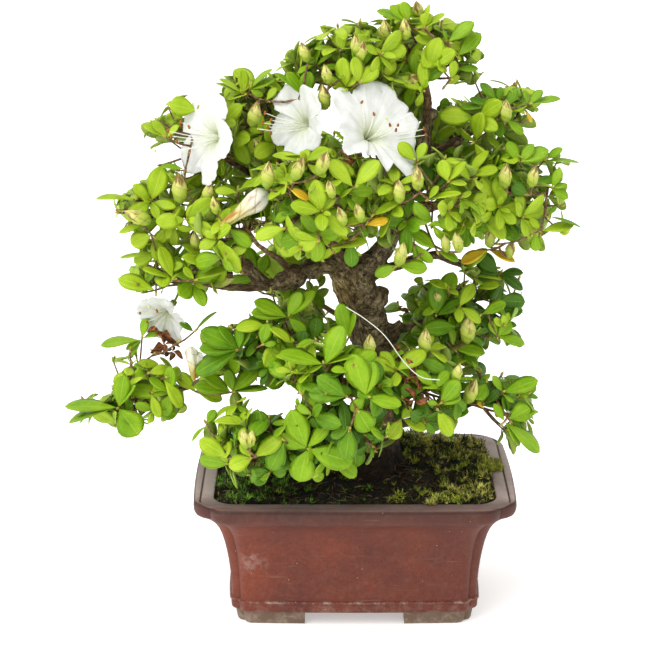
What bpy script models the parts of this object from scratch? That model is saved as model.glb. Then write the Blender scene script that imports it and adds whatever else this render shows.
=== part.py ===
"""Satsuki azalea bonsai in flower, in a rectangular pot of unglazed clay.

Sizes are in millimetres and become metres when a mesh is made. X runs to the right as the tree
is seen from its front, Y away from the front and Z up. Everything is laid out round the middle
of the pot. At the end the whole plant is moved sideways, so that the middle of its bounding box
stands on the origin.
"""
import math
import random
from collections import namedtuple

import bmesh
import bpy
import numpy as np
from mathutils import Quaternion, Vector

# General sizes
MM = 0.001
CLEARANCE = 0.3
ROOT_SINK = 0.8
UP = Vector((0.0, 0.0, 1.0))

# Pot of unglazed clay, with a notch in each corner
POT_HALF_LENGTH = 112.0
POT_HALF_DEPTH = 82.5
POT_HEIGHT = 96.0
POT_SIDE_BOW = 1.5
RIM_WIDTH = 14.5
RIM_CORNER = 16.0
FLOOR_INSET = 34.0
FLOOR_TOP = 19.0
FOOT_HEIGHT = 10.0
FOOT_WALL = 13.0
FOOT_GAP_HALF_LENGTH = 35.0
FOOT_GAP_HALF_DEPTH = 24.0
DRAIN_RADIUS = 7.0
DRAIN_OFFSET = 34.0
DRAIN_SIDES = 12
CORNER_STEPS = 3
INNER_CURVE = 0.6

# The wall from the feet up to the rim: height, inset from the rim's edge, depth of the notch
WALL_STATIONS = (
    (0.0, 29.5, 5.0),
    (FOOT_HEIGHT, 27.5, 5.5),
    (FOOT_HEIGHT + 1.5, 25.0, 6.0),
    (18.0, 24.6, 6.0),
    (19.5, 25.6, 6.0),
    (38.0, 24.4, 6.5),
    (54.0, 22.0, 7.5),
    (66.0, 19.0, 8.5),
    (74.0, 15.0, 9.5),
    (80.0, 9.5, 10.5),
    (84.5, 3.6, 11.5),
    (87.5, 1.0, 12.0),
    (93.5, 0.0, 12.0),
    (POT_HEIGHT, 1.4, 12.0),
)

# Soil and the seat of the trunk
GROUND = 102.0
SOIL_EDGE = 94.5
SOIL_MOUND = 17.0
MOUND_CENTRE = Vector((2.0, 26.0))
MOUND_SPREAD = Vector((72.0, 40.0))
SEAT_RADIUS = 34.0
SOIL_RINGS = 5
HEAP_GROWTH = 2.5

# Trunk: its route from the ground to the fork, with the radius at each point
TRUNK_ROUTE = (
    (13.0, -8.0, GROUND),
    (13.0, -8.0, GROUND + 4.0),
    (13.6, -8.0, 113.0),
    (15.5, -8.0, 128.0),
    (19.0, -5.0, 162.0),
    (12.5, -4.0, 194.0),
    (4.5, -3.0, 221.0),
    (-2.0, -2.0, 238.0),
    (-4.0, -1.0, 247.0),
    (-4.6, -1.0, 252.0),
)
TRUNK_RADII = (25.0, 22.0, 18.5, 16.0, 14.8, 14.2, 14.4, 14.6, 11.5, 5.5)
TRUNK_SIDES = 12
FLARE_TOP = 126.0
FLARE_LOBES = ((3, 0.16, 1.1), (5, 0.07, 2.3))

Bough = namedtuple("Bough", "name route thick thin")
Mass = namedtuple("Mass", "name bough centre reach")
Bloom = namedtuple("Bloom", "mass centre facing radius")

# Boughs: the route of each from inside its parent to its tip, and its radius at both ends
BOUGHS = (
    Bough("leader", ((-2, 0, 240), (20, 4, 258), (31, 8, 285), (47, 11, 325), (50, 12, 352)), 8.0, 3.6),
    Bough("left_bough",
          ((2, -3, 238), (-24, -5, 250), (-45, -9, 241), (-66, -11, 235), (-93, -12, 235)), 6.6, 2.2),
    Bough("upper_left_bough", ((-4, 0, 242), (-20, 5, 262), (-34, 3, 290), (-52, 0, 324)), 5.4, 2.4),
    Bough("front_bough", ((-1, -2, 240), (-10, -18, 258), (-22, -34, 280)), 4.6, 2.5),
    Bough("dead_bough", ((0, -2, 236), (28, 2, 246), (52, 4, 254), (70, 6, 249), (82, 6, 245)), 4.0, 2.5),
    Bough("back_bough", ((2, -2, 228), (-6, 26, 244), (-12, 50, 260)), 4.8, 2.5),
    Bough("right_bough", ((29, 7, 280), (50, 1, 288), (70, -7, 292)), 4.2, 2.4),
    Bough("front_right_bough", ((22, 4, 262), (30, -20, 277), (40, -40, 292)), 3.6, 2.2),
    Bough("upper_centre_bough", ((33, 8, 290), (18, 0, 322), (4, -10, 352)), 3.6, 2.2),
    Bough("upper_right_bough", ((44, 11, 318), (66, 12, 332), (84, 11, 341)), 3.2, 2.0),
    Bough("back_right_bough", ((32, 9, 288), (48, 30, 297), (58, 42, 305)), 3.4, 2.1),
    Bough("back_upper_bough", ((46, 11, 322), (34, 28, 334), (26, 40, 344)), 3.0, 2.0),
    Bough("left_riser", ((-62, -10, 235), (-84, -10, 257), (-110, -10, 281)), 4.0, 2.2),
    Bough("left_inner_bough", ((-42, -8, 242), (-50, -18, 254), (-58, -26, 262)), 2.9, 1.9),
    Bough("left_upper_bough", ((-36, 3, 292), (-62, -2, 308), (-86, -5, 322)), 3.2, 2.0),
    Bough("back_left_bough", ((-33, 3, 288), (-46, 22, 298), (-58, 38, 306)), 3.2, 2.0),
    Bough("right_low_bough", ((12, -4, 192), (30, 0, 201), (50, 2, 206)), 4.4, 2.3),
    Bough("back_low_bough", ((14, -4, 184), (4, 22, 194), (-12, 42, 200)), 4.0, 2.2),
    Bough("low_left_bough",
          ((17, -5, 158), (-8, -14, 166), (-40, -20, 173), (-84, -20, 178), (-118, -26, 166)), 4.4, 2.1),
    Bough("low_left_riser", ((-12, -15, 167), (-26, -24, 178), (-38, -27, 186)), 3.0, 2.0),
    Bough("back_low_right_bough", ((18, -5, 146), (36, 20, 155), (46, 36, 162)), 3.8, 2.1),
    Bough("front_low_right_bough", ((18, -6, 148), (30, -22, 156), (38, -32, 161)), 3.2, 2.1),
    Bough("low_front_bough", ((16, -8, 134), (4, -30, 144), (-4, -46, 152)), 3.6, 2.1),
    Bough("low_right_bough", ((16, -8, 126), (42, -13, 138), (62, -16, 145)), 3.8, 2.1),
    Bough("low_front_left_bough", ((13, -8, 114), (-10, -32, 122), (-26, -50, 130)), 3.4, 2.0),
)
BOUGH_SIDES = 6
ROUTE_STEPS = 2

# Masses of foliage: the bough that carries each, its middle and how far it reaches each way
MASSES = (
    Mass("apex_mass", "leader", (44, 8, 394), (42, 36, 38)),
    Mass("upper_right_mass", "upper_right_bough", (107, 10, 352), (36, 32, 32)),
    Mass("right_mass", "right_bough", (106, -10, 296), (50, 42, 40)),
    Mass("front_right_mass", "front_right_bough", (48, -62, 306), (34, 30, 36)),
    Mass("front_centre_mass", "front_bough", (-26, -64, 308), (48, 36, 40)),
    Mass("upper_centre_mass", "upper_centre_bough", (-8, -16, 382), (40, 36, 36)),
    Mass("upper_left_mass", "upper_left_bough", (-66, 2, 352), (38, 36, 34)),
    Mass("left_top_mass", "left_upper_bough", (-114, -4, 336), (38, 36, 34)),
    Mass("left_far_mass", "left_riser", (-142, -10, 292), (40, 36, 31)),
    Mass("left_inner_mass", "left_inner_bough", (-76, -36, 280), (36, 30, 32)),
    Mass("left_mid_mass", "left_bough", (-127, -12, 243), (42, 34, 30)),
    Mass("right_low_mass", "right_low_bough", (82, 0, 213), (44, 38, 36)),
    Mass("low_left_mass", "low_left_riser", (-62, -30, 200), (42, 36, 34)),
    Mass("low_left_far_mass", "low_left_bough", (-160, -30, 160), (44, 34, 30)),
    Mass("low_front_mass", "low_front_bough", (-14, -76, 170), (40, 34, 48)),
    Mass("low_front_left_mass", "low_front_left_bough", (-56, -74, 141), (48, 34, 32)),
    Mass("front_low_right_mass", "front_low_right_bough", (46, -54, 170), (32, 30, 34)),
    Mass("low_right_mass", "low_right_bough", (92, -20, 150), (42, 34, 33)),
    Mass("back_mass", "back_bough", (-14, 86, 284), (48, 40, 42)),
    Mass("back_right_mass", "back_right_bough", (76, 66, 314), (42, 38, 36)),
    Mass("back_left_mass", "back_left_bough", (-78, 64, 318), (42, 38, 36)),
    Mass("back_upper_mass", "back_upper_bough", (16, 58, 364), (40, 34, 32)),
    Mass("back_low_mass", "back_low_bough", (-46, 68, 206), (46, 38, 36)),
    Mass("back_low_right_mass", "back_low_right_bough", (62, 62, 176), (44, 38, 38)),
)
ROOM_MARGIN = 0.03
ROOM_LIMIT = 1.12
LIMB_MARGIN = 3.0
LEAF_FLOOR = 112.0

# Twigs and leaves
STEM_RADIUS_END = 1.3
STEM_SIDES = 5
TWIG_RADIUS = 1.05
TWIG_RADIUS_END = 0.85
TWIG_SIDES = 3
TWIG_SHARE = 800.0
TWIG_REACHES = (0.66, 0.5, 0.8, 0.36)
ARRIVING_LIMIT = 0.86
UPWARD = 0.35
BUD_EVERY = 4
EVEN_STEPS = (0.7549, 0.5698)
DIRECTION_TRIES = 6
LEAVES_AT_TIP = 5
LEAVES_AT_LEAST = 2
LEAF_LENGTH = (30.0, 37.0)
LEAF_WIDTH_SHARE = 0.54
LEAF_THICKNESS = 1.0
LEAF_FOLD = 1.8
LEAF_BROADEST = 0.56
LEAF_TILT = (48.0, 78.0)
LEAF_STEP = 2.4
LEAF_TRIES = ((0.0, 1.0), (0.4, 1.0), (-0.4, 1.0), (0.0, 0.8), (0.6, 0.8), (-0.6, 0.8), (0.0, 0.65))
LEAF_SPACING = 4.5
LEAF_BESIDE = 8.0
TWIG_SPACING = 3.0
BUD_LENGTH = 15.0
BUD_RADIUS = 3.8
BUD_BROADEST = 0.42
BUD_SIDES = 4
SEED = 640

# Open blossoms: the mass that carries each, the middle of its face, the way it faces, its size
BLOOMS = (
    Bloom("upper_centre_mass", (12.0, -60.0, 354.0), (0.40, -0.73, 0.54), 30.0),
    Bloom("upper_centre_mass", (-40.0, -40.0, 356.0), (-0.72, -0.62, 0.22), 27.0),
    Bloom("upper_left_mass", (-101.0, -34.0, 345.0), (-0.80, -0.58, 0.12), 31.0),
    Bloom("left_mid_mass", (-137.0, -22.0, 214.0), (-0.50, -0.40, -0.76), 21.0),
)
WITHERED_MASS = "left_inner_mass"
WITHERED_FOOT = Vector((-92.0, -50.0, 279.0))
WITHERED_TIP = Vector((-62.0, -56.0, 297.0))
WITHERED_RADIUS = 5.5
PETALS = 5
PETAL_THICKNESS = 1.4
THROAT_LENGTH = 20.0
THROAT_RADIUS = 4.2
PEDICEL_RADIUS = 1.5
BLOOM_ROOM_FRONT = 20.0
BLOOM_ROOM_BACK = 7.0
BLOOM_BRANCHES_AT = 0.75

# A blossom's funnel: share of its depth, share of its radius, how far it is drawn in between lobes
FUNNEL_STATIONS = ((0.0, 0.06, 1.0), (0.5, 0.14, 0.95), (0.86, 0.56, 0.9), (1.0, 1.0, 0.78))

# Colours, as linear red, green and blue, with roughness
COLOURS = {
    "clay": ((0.195, 0.075, 0.047), 0.8),
    "soil": ((0.030, 0.028, 0.010), 0.95),
    "bark": ((0.150, 0.105, 0.070), 0.9),
    "leaf": ((0.160, 0.400, 0.020), 0.45),
    "petal": ((0.850, 0.860, 0.800), 0.55),
}


def material(name):
    """One Principled material for a finish in COLOURS."""
    made = bpy.data.materials.get(name)
    if made:
        return made
    colour, roughness = COLOURS[name]
    made = bpy.data.materials.new(name)
    made.use_nodes = True
    shader = made.node_tree.nodes["Principled BSDF"]
    shader.inputs["Base Color"].default_value = (*colour, 1.0)
    shader.inputs["Roughness"].default_value = roughness
    shader.inputs["Metallic"].default_value = 0.0
    made.diffuse_color = (*colour, 1.0)
    return made


def solid(name, points, faces, finish, collection=None):
    """A mesh object from points in millimetres, with its faces turned outwards."""
    mesh = bpy.data.meshes.new(name)
    mesh.from_pydata([tuple(Vector(p) * MM) for p in points], [], faces)
    mesh.materials.append(material(finish))
    shape = bmesh.new()
    shape.from_mesh(mesh)
    bmesh.ops.recalc_face_normals(shape, faces=shape.faces)
    shape.to_mesh(mesh)
    shape.free()
    piece = bpy.data.objects.new(name, mesh)
    (collection or bpy.context.scene.collection).objects.link(piece)
    return piece


def loft(rings):
    """Points and faces of a closed solid through rings of equal length, with flat end faces."""
    count = len(rings[0])
    points = [point for ring in rings for point in ring]
    faces = [tuple(range(count))]
    for row in range(len(rings) - 1):
        low = row * count
        for k in range(count):
            after = (k + 1) % count
            faces.append((low + k, low + count + k, low + count + after, low + after))
    faces.append(tuple(range(len(points) - 1, len(points) - 1 - count, -1)))
    return points, faces


def smooth_route(corners, steps):
    """Points on a smooth curve through a route's corners, with steps points for each stretch."""
    ends = [Vector(c) for c in corners]
    ends = [ends[0] * 2 - ends[1]] + ends + [ends[-1] * 2 - ends[-2]]
    path = []
    for a, b, c, d in zip(ends, ends[1:], ends[2:], ends[3:]):
        for step in range(steps):
            t = step / steps
            path.append(
                b + (c - a) * (t / 2)
                + (a * 2 - b * 5 + c * 4 - d) * (t * t / 2)
                + (b * 3 - a - c * 3 + d) * (t ** 3 / 2)
            )
    path.append(ends[-2])
    return path


def headings(path):
    """The unit direction of a path at each of its points."""
    last = len(path) - 1
    return [(path[min(k + 1, last)] - path[max(k - 1, 0)]).normalized() for k in range(last + 1)]


def tube_rings(path, radii, sides, lobed=None):
    """Rings round a path, carried along it without twist; lobed gives a radius factor."""
    ways = headings(path)
    across = ways[0].orthogonal().normalized()
    rings = []
    for spot, way, radius in zip(path, ways, radii):
        across = (across - way * across.dot(way)).normalized()
        beside = way.cross(across)
        ring = []
        for k in range(sides):
            turn = math.tau * k / sides
            reach = radius * (lobed(turn, spot) if lobed else 1.0)
            ring.append(spot + across * (reach * math.cos(turn)) + beside * (reach * math.sin(turn)))
        rings.append(ring)
    return rings


def taper(path, thick, thin):
    """Radii that fall evenly from thick to thin along a path."""
    last = len(path) - 1
    return [thick + (thin - thick) * k / last for k in range(last + 1)]


def grown(path, radii):
    """The same path and radii with the clearance added all round and at both ends."""
    ways = headings(path)
    longer = [path[0] - ways[0] * CLEARANCE] + path[1:-1] + [path[-1] + ways[-1] * CLEARANCE]
    return longer, [radius + CLEARANCE for radius in radii]


def keep_largest(piece):
    """Drop loose scraps and sealed hollows, so that one closed body is left."""
    shape = bmesh.new()
    shape.from_mesh(piece.data)
    waiting = set(shape.verts)
    islands = []
    while waiting:
        stack = [waiting.pop()]
        island = set(stack)
        while stack:
            for edge in stack.pop().link_edges:
                for corner in edge.verts:
                    if corner in waiting:
                        waiting.discard(corner)
                        island.add(corner)
                        stack.append(corner)
        islands.append(island)
    largest = max(islands, key=len)
    extra = [corner for island in islands if island is not largest for corner in island]
    bmesh.ops.delete(shape, geom=extra, context="VERTS")
    shape.to_mesh(piece.data)
    shape.free()


def is_closed(piece):
    """Whether a piece, with its modifiers, has two faces on each of its edges."""
    bpy.context.view_layer.update()
    shape = bmesh.new()
    shape.from_object(piece, bpy.context.evaluated_depsgraph_get())
    closed = all(len(edge.link_faces) == 2 for edge in shape.edges)
    shape.free()
    return closed


def apply_modifiers(piece):
    """Replace a piece's mesh by what its modifiers make of it."""
    bpy.context.view_layer.update()
    seen = piece.evaluated_get(bpy.context.evaluated_depsgraph_get())
    made = bpy.data.meshes.new_from_object(seen)
    piece.modifiers.clear()
    old = piece.data
    piece.data = made
    bpy.data.meshes.remove(old)
    made.name = piece.name


def cut(piece, cutters):
    """Take closed cutters out of a piece and remove them from the scene."""
    for cutter in cutters:
        knife = piece.modifiers.new("cut", "BOOLEAN")
        knife.operation = "DIFFERENCE"
        knife.solver = "EXACT"
        knife.object = cutter
    apply_modifiers(piece)
    for cutter in cutters:
        bpy.data.meshes.remove(cutter.data)


def box(name, low, high):
    """A plain box between two corners, used as a cutter."""
    points = [(x, y, z) for x in (low[0], high[0]) for y in (low[1], high[1]) for z in (low[2], high[2])]
    faces = [(0, 1, 3, 2), (4, 6, 7, 5), (0, 4, 5, 1), (2, 3, 7, 6), (0, 2, 6, 4), (1, 5, 7, 3)]
    return solid(name, points, faces, "clay")


def arc(centre, radius, start, end, steps):
    """Points on an arc between two angles in degrees."""
    turns = [math.radians(start + (end - start) * k / steps) for k in range(steps + 1)]
    return [Vector((centre[0] + radius * math.cos(t), centre[1] + radius * math.sin(t))) for t in turns]


def notched_corner(half_length, half_depth, notch):
    """The pot's right back corner: two rounded lobes with a sharp groove between them."""
    side_lobe = arc((half_length - notch, half_depth - 2 * notch), notch, 0, 90, CORNER_STEPS)
    back_lobe = arc((half_length - 2 * notch, half_depth - notch), notch, 0, 90, CORNER_STEPS)
    return side_lobe + back_lobe[1:]


def round_corner(half_length, half_depth, radius):
    """A plain round corner with as many points as a notched one."""
    return arc((half_length - radius, half_depth - radius), radius, 0, 90, 2 * CORNER_STEPS)


def outline(corner, half_length, half_depth, height, bow=0.0):
    """A closed plan outline from one corner mirrored to all four, with bowed sides."""
    back_middle = [Vector((0.0, half_depth + bow))]
    right_middle = [Vector((half_length + bow, 0.0))]
    quarter = right_middle + corner + back_middle
    half = quarter + [Vector((-p.x, p.y)) for p in reversed(quarter[:-1])]
    whole = half + [Vector((p.x, -p.y)) for p in reversed(half[1:-1])]
    return [Vector((p.x, p.y, height)) for p in whole]


def wall_ring(height, inset, notch):
    """The pot's outer outline at one height."""
    half_length = POT_HALF_LENGTH - inset
    half_depth = POT_HALF_DEPTH - inset
    corner = notched_corner(half_length, half_depth, notch)
    return outline(corner, half_length, half_depth, height, POT_SIDE_BOW)


def inner_ring(height, shrink=0.0):
    """The pot's inner outline at one height, from the rim's inner edge down to the floor."""
    down = (POT_HEIGHT - height) / (POT_HEIGHT - FLOOR_TOP)
    inset = RIM_WIDTH + (FLOOR_INSET - RIM_WIDTH) * down ** INNER_CURVE + shrink
    half_length = POT_HALF_LENGTH - inset
    half_depth = POT_HALF_DEPTH - inset
    corner = round_corner(half_length, half_depth, RIM_CORNER - shrink)
    return outline(corner, half_length, half_depth, height)


def build_pot():
    """The pot: flared wall, flat rim, floor with two drain holes and four corner feet."""
    rings = [wall_ring(*station) for station in WALL_STATIONS]
    middle = (POT_HEIGHT + FLOOR_TOP) / 2
    rings += [inner_ring(POT_HEIGHT), inner_ring(middle), inner_ring(FLOOR_TOP)]
    pot = solid("pot", *loft(rings), "clay")
    low = -FOOT_HEIGHT
    inset = WALL_STATIONS[0][1] + FOOT_WALL
    hollow = [
        outline(
            round_corner(POT_HALF_LENGTH - inset, POT_HALF_DEPTH - inset, FOOT_WALL),
            POT_HALF_LENGTH - inset, POT_HALF_DEPTH - inset, height,
        )
        for height in (low, FOOT_HEIGHT)
    ]
    cutters = [
        solid("foot_hollow", *loft(hollow), "clay"),
        box("gap_front_back", (-FOOT_GAP_HALF_LENGTH, -POT_HALF_DEPTH, low),
            (FOOT_GAP_HALF_LENGTH, POT_HALF_DEPTH, FOOT_HEIGHT)),
        box("gap_left_right", (-POT_HALF_LENGTH, -FOOT_GAP_HALF_DEPTH, low),
            (POT_HALF_LENGTH, FOOT_GAP_HALF_DEPTH, FOOT_HEIGHT)),
    ]
    for side in (-1, 1):
        path = [Vector((side * DRAIN_OFFSET, 0.0, z)) for z in (low, FLOOR_TOP + FOOT_HEIGHT)]
        rings = tube_rings(path, [DRAIN_RADIUS, DRAIN_RADIUS], DRAIN_SIDES)
        cutters.append(solid("drain", *loft(rings), "clay"))
    cut(pot, cutters)
    keep_largest(pot)
    return pot


def soil_height(x, y):
    """The height of the mossy soil, low at the pot's edge and heaped behind the trunk."""
    far = ((x - MOUND_CENTRE.x) / MOUND_SPREAD.x) ** 2 + ((y - MOUND_CENTRE.y) / MOUND_SPREAD.y) ** 2
    return SOIL_EDGE + SOIL_MOUND * math.exp(-far)


def build_soil():
    """The root ball and its mossy top, a clearance inside the pot, with a flat trunk seat."""
    bottom = FLOOR_TOP + CLEARANCE
    edge = inner_ring(SOIL_EDGE, CLEARANCE)
    waist = inner_ring((bottom + SOIL_EDGE) / 2, 4 * CLEARANCE)
    rings = [inner_ring(bottom, CLEARANCE), waist, edge]
    seat = Vector((TRUNK_ROUTE[0][0], TRUNK_ROUTE[0][1], GROUND - CLEARANCE))
    seat_ring = []
    for point in edge:
        way = Vector((point.x - seat.x, point.y - seat.y, 0.0)).normalized()
        seat_ring.append(seat + way * SEAT_RADIUS)
    for step in range(1, SOIL_RINGS):
        share = step / SOIL_RINGS
        ring = []
        for outer, inner in zip(edge, seat_ring):
            spot = outer.lerp(inner, share)
            heap = soil_height(spot.x, spot.y)
            if share > 0.5:
                spot.z = heap + (seat.z - heap) * share ** 4
            else:
                spot.z = SOIL_EDGE + (heap - SOIL_EDGE) * min(1.0, share * HEAP_GROWTH)
            ring.append(spot)
        rings.append(ring)
    rings.append(seat_ring)
    return solid("soil", *loft(rings), "soil")


def flare(turn, spot):
    """Radius factor of the root flare, whose lobes fade out up the trunk."""
    share = max(0.0, (FLARE_TOP - spot.z) / (FLARE_TOP - GROUND))
    return 1.0 + share * sum(size * math.cos(count * turn + shift) for count, size, shift in FLARE_LOBES)


def build_trunk():
    """The trunk from its flat cut at the ground to the fork, with its own path and radii."""
    path = [Vector(corner) for corner in TRUNK_ROUTE]
    path = path[:3] + smooth_route(path[3:], ROUTE_STEPS)
    heights = [corner[2] for corner in TRUNK_ROUTE]
    radii = [float(np.interp(spot.z, heights, TRUNK_RADII)) for spot in path]
    trunk = solid("trunk", *loft(tube_rings(path, radii, TRUNK_SIDES, flare)), "bark")
    trunk.data.shade_smooth()
    return path, radii


def build_boughs(limbs):
    """Every bough, with its foot cut a clearance away from the limbs that were made before it."""
    for bough in BOUGHS:
        path = smooth_route(bough.route, ROUTE_STEPS)
        radii = taper(path, bough.thick, bough.thin)
        piece = solid(bough.name, *loft(tube_rings(path, radii, BOUGH_SIDES)), "bark")
        cutters = []
        for name, (other, widths) in limbs.items():
            if touching(path, radii, other, widths):
                wide_path, wide = grown(other, widths)
                lobed = flare if name == "trunk" else None
                sides = TRUNK_SIDES if name == "trunk" else BOUGH_SIDES
                cutters.append(solid("cutter", *loft(tube_rings(wide_path, wide, sides, lobed)), "bark"))
        cut(piece, cutters)
        keep_largest(piece)
        piece.data.shade_smooth()
        limbs[bough.name] = (path, radii)


def limb_table(limbs):
    """The stretches of many limbs as arrays: start, direction, squared length and radius."""
    starts, alongs, widths = [], [], []
    for path, radii in limbs:
        for a, b, radius in zip(path, path[1:], radii):
            starts.append(a)
            alongs.append(b - a)
            widths.append(radius)
    starts, alongs = np.array(starts), np.array(alongs)
    return starts, alongs, (alongs ** 2).sum(1), np.array(widths)


def gap_to_limbs(spots, table):
    """The smallest distance from any of some points to the surface of any limb."""
    starts, alongs, squares, widths = table
    away = np.array(spots)[:, None, :] - starts[None]
    share = np.clip((away * alongs).sum(2) / squares, 0.0, 1.0)
    nearest = np.sqrt(((away - share[..., None] * alongs) ** 2).sum(2)) - widths
    return nearest.min()


def touching(path, radii, other, widths):
    """Whether two limbs come within two clearances of each other anywhere."""
    table = limb_table([(other, widths)])
    for a, b, radius in zip(path, path[1:], radii):
        spots = [a.lerp(b, share) for share in (0.0, 0.25, 0.5, 0.75, 1.0)]
        if gap_to_limbs(spots, table) < radius + 2 * CLEARANCE:
            return True
    return False


def in_own_room(spots, mass):
    """Whether points are in a mass's own space, nearer to it than to any other mass."""
    spots = np.array(spots)
    centres = np.array([other.centre for other in MASSES], dtype=float)
    reaches = np.array([other.reach for other in MASSES], dtype=float)
    rooms = np.sqrt((((spots[:, None, :] - centres) / reaches) ** 2).sum(2))
    own = MASSES.index(mass)
    far_out = rooms[:, own]
    rooms = np.delete(rooms, own, axis=1)
    inside = far_out.max() < ROOM_LIMIT and spots[:, 2].min() > LEAF_FLOOR
    return bool(inside and (rooms.min(1) > far_out + ROOM_MARGIN).all())


def before_bloom(spots):
    """Whether any point lies in the space that is kept free round an open blossom."""
    spots = np.array(spots)
    for bloom in BLOOMS:
        facing = np.array(Vector(bloom.facing).normalized())
        away = spots - np.array(bloom.centre)
        ahead = away @ facing
        beside = np.linalg.norm(away - ahead[:, None] * facing, axis=1)
        if ((ahead > -BLOOM_ROOM_BACK) & (ahead < BLOOM_ROOM_FRONT) & (beside < bloom.radius)).any():
            return True
    return False


def fits(spots, mass, table):
    """Whether a leaf or twig with these points may grow: in its room and clear of all limbs."""
    clear = gap_to_limbs(spots, table) > LIMB_MARGIN
    return clear and in_own_room(spots, mass) and not before_bloom(spots)


def bloom_foot(bloom):
    """Where a blossom's tube joins its stalk."""
    return Vector(bloom.centre) - Vector(bloom.facing).normalized() * THROAT_LENGTH


def leaf_points(root, way, face, length):
    """The six corners of a folded leaf: root, left, tip, right, and its two middles."""
    side = way.cross(face)
    half = length * LEAF_WIDTH_SHARE / 2
    broad = root + way * (length * LEAF_BROADEST) + face * LEAF_FOLD
    middle = root + way * (length * 0.5)
    return [
        root - way * (ROOT_SINK / 2),
        broad + side * half,
        root + way * length - face * LEAF_FOLD,
        broad - side * half,
        middle + face * (LEAF_THICKNESS / 2),
        middle - face * (LEAF_THICKNESS / 2),
    ]


LEAF_FACES = [(0, 1, 4), (1, 2, 4), (2, 3, 4), (3, 0, 4), (1, 0, 5), (2, 1, 5), (3, 2, 5), (0, 3, 5)]


def leaf_samples(corners):
    """Points spread over a leaf, to test what it would touch."""
    root, left, tip, right, middle, _ = corners
    ring = [root, left, tip, right]
    spread = [left, tip, right, middle, root.lerp(tip, 0.2)]
    for here, after in zip(ring, ring[1:] + ring[:1]):
        spread += [here.lerp(after, 0.5), (here + after + middle) / 3, here.lerp(after, 0.75)]
    spread += [corner.lerp(middle, 0.5) for corner in ring]
    return spread


def whorl(tip, heading, count, dice):
    """Places for leaves round a twig's tip, each with a few other turns to try in its stead."""
    across = heading.orthogonal().normalized()
    first = dice.uniform(0.0, math.tau)
    for k in range(count):
        tries = []
        for shift, size in LEAF_TRIES:
            out = Quaternion(heading, first + math.tau * k / count + shift) @ across
            tilt = math.radians(dice.uniform(*LEAF_TILT))
            way = heading * math.cos(tilt) + out * math.sin(tilt)
            face = (heading - way * heading.dot(way)).normalized()
            root = tip - heading * (ROOT_SINK + LEAF_STEP * k)
            tries.append(leaf_points(root, way, face, dice.uniform(*LEAF_LENGTH) * size))
        yield tries


def spindle(foot, way, length, radius, sides):
    """A closed bud, widest a little below its middle."""
    across = way.orthogonal().normalized()
    points = [foot - way * ROOT_SINK, foot + way * length]
    for k in range(sides):
        out = Quaternion(way, math.tau * k / sides) @ across
        points.append(foot + way * (length * BUD_BROADEST) + out * radius)
    faces = []
    for k in range(sides):
        here, after = 2 + k, 2 + (k + 1) % sides
        faces += [(0, after, here), (1, here, after)]
    return points, faces


def corolla_ring(bloom, ahead, radius, notch):
    """One ring of a blossom's funnel, drawn in between its lobes by the notch share."""
    facing = Vector(bloom.facing).normalized()
    across = facing.orthogonal().normalized()
    spot = bloom_foot(bloom) + facing * ahead
    ring = []
    for k in range(PETALS * 3):
        out = Quaternion(facing, math.tau * k / (PETALS * 3)) @ across
        ring.append(spot + out * (radius * (notch if k % 3 == 0 else 1.0)))
    return ring


def bloom_solids(bloom, stalk_root):
    """A blossom's stalk, and its funnel of five fused petals as one thin closed shell."""
    facing = Vector(bloom.facing).normalized()
    foot = bloom_foot(bloom)
    stalk = loft(tube_rings([stalk_root, foot + facing], [PEDICEL_RADIUS, PEDICEL_RADIUS], TWIG_SIDES))
    stations = [
        (THROAT_LENGTH * depth, bloom.radius * share, notch)
        for depth, share, notch in FUNNEL_STATIONS
    ]
    outer = [corolla_ring(bloom, *station) for station in stations]
    inner = [
        [spot + facing * PETAL_THICKNESS for spot in corolla_ring(bloom, *station)]
        for station in reversed(stations[1:])
    ]
    return [(*stalk, "bark"), (*loft(outer + inner), "petal")]


def withered_solids(stalk_root):
    """The closed, withered blossom on its stalk."""
    way = (WITHERED_TIP - WITHERED_FOOT).normalized()
    length = (WITHERED_TIP - WITHERED_FOOT).length
    stalk = loft(tube_rings([stalk_root, WITHERED_FOOT + way], [PEDICEL_RADIUS, PEDICEL_RADIUS], TWIG_SIDES))
    withered = spindle(WITHERED_FOOT, way, length, WITHERED_RADIUS, PETALS)
    return [(*stalk, "bark"), (*withered, "petal")]


def twig_solid(start, end, thick, thin):
    """A straight three-sided twig, as points, faces and finish."""
    return (*loft(tube_rings([start, end], [thick, thin], TWIG_SIDES)), "bark")


def samples(start, end, count=5):
    """Evenly spaced points along a twig, leaving out its root."""
    return [start.lerp(end, (k + 1) / count) for k in range(count)]


def mass_stem(mass, limbs):
    """The path and radii of a mass's own stem, a clearance past the tip of its bough."""
    path, radii = limbs[mass.bough]
    heading = headings(path)[-1]
    root = path[-1] + heading * CLEARANCE
    centre = Vector(mass.centre)
    bend = root + heading * ((centre - root).length * 0.4)
    end = centre + UP * (mass.reach[2] * 0.15)
    stem = [root, root + heading * 2.0, bend.lerp(root.lerp(end, 0.5), 0.5), end]
    return stem, taper(stem, radii[-1] * 0.95, STEM_RADIUS_END)


def point_on(path, share):
    """The point at a share of a path's corners."""
    place = share * (len(path) - 1)
    k = min(int(place), len(path) - 2)
    return path[k].lerp(path[k + 1], place - k)


def even_direction(number, spin):
    """The directions of twigs: an even cover of the sphere, however many of them are used."""
    lift = 1.0 - 2.0 * ((0.5 + number * EVEN_STEPS[0]) % 1.0)
    turn = spin + math.tau * ((number * EVEN_STEPS[1]) % 1.0)
    flat = math.sqrt(1.0 - lift * lift)
    return Vector((flat * math.cos(turn), flat * math.sin(turn), lift))


def too_near(spots, others, limit):
    """Whether any of some points lies within a limit of any of some others."""
    if not others:
        return False
    away = np.array(spots)[:, None, :] - np.array(others)[None]
    return (away ** 2).sum(2).min() < limit * limit


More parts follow.
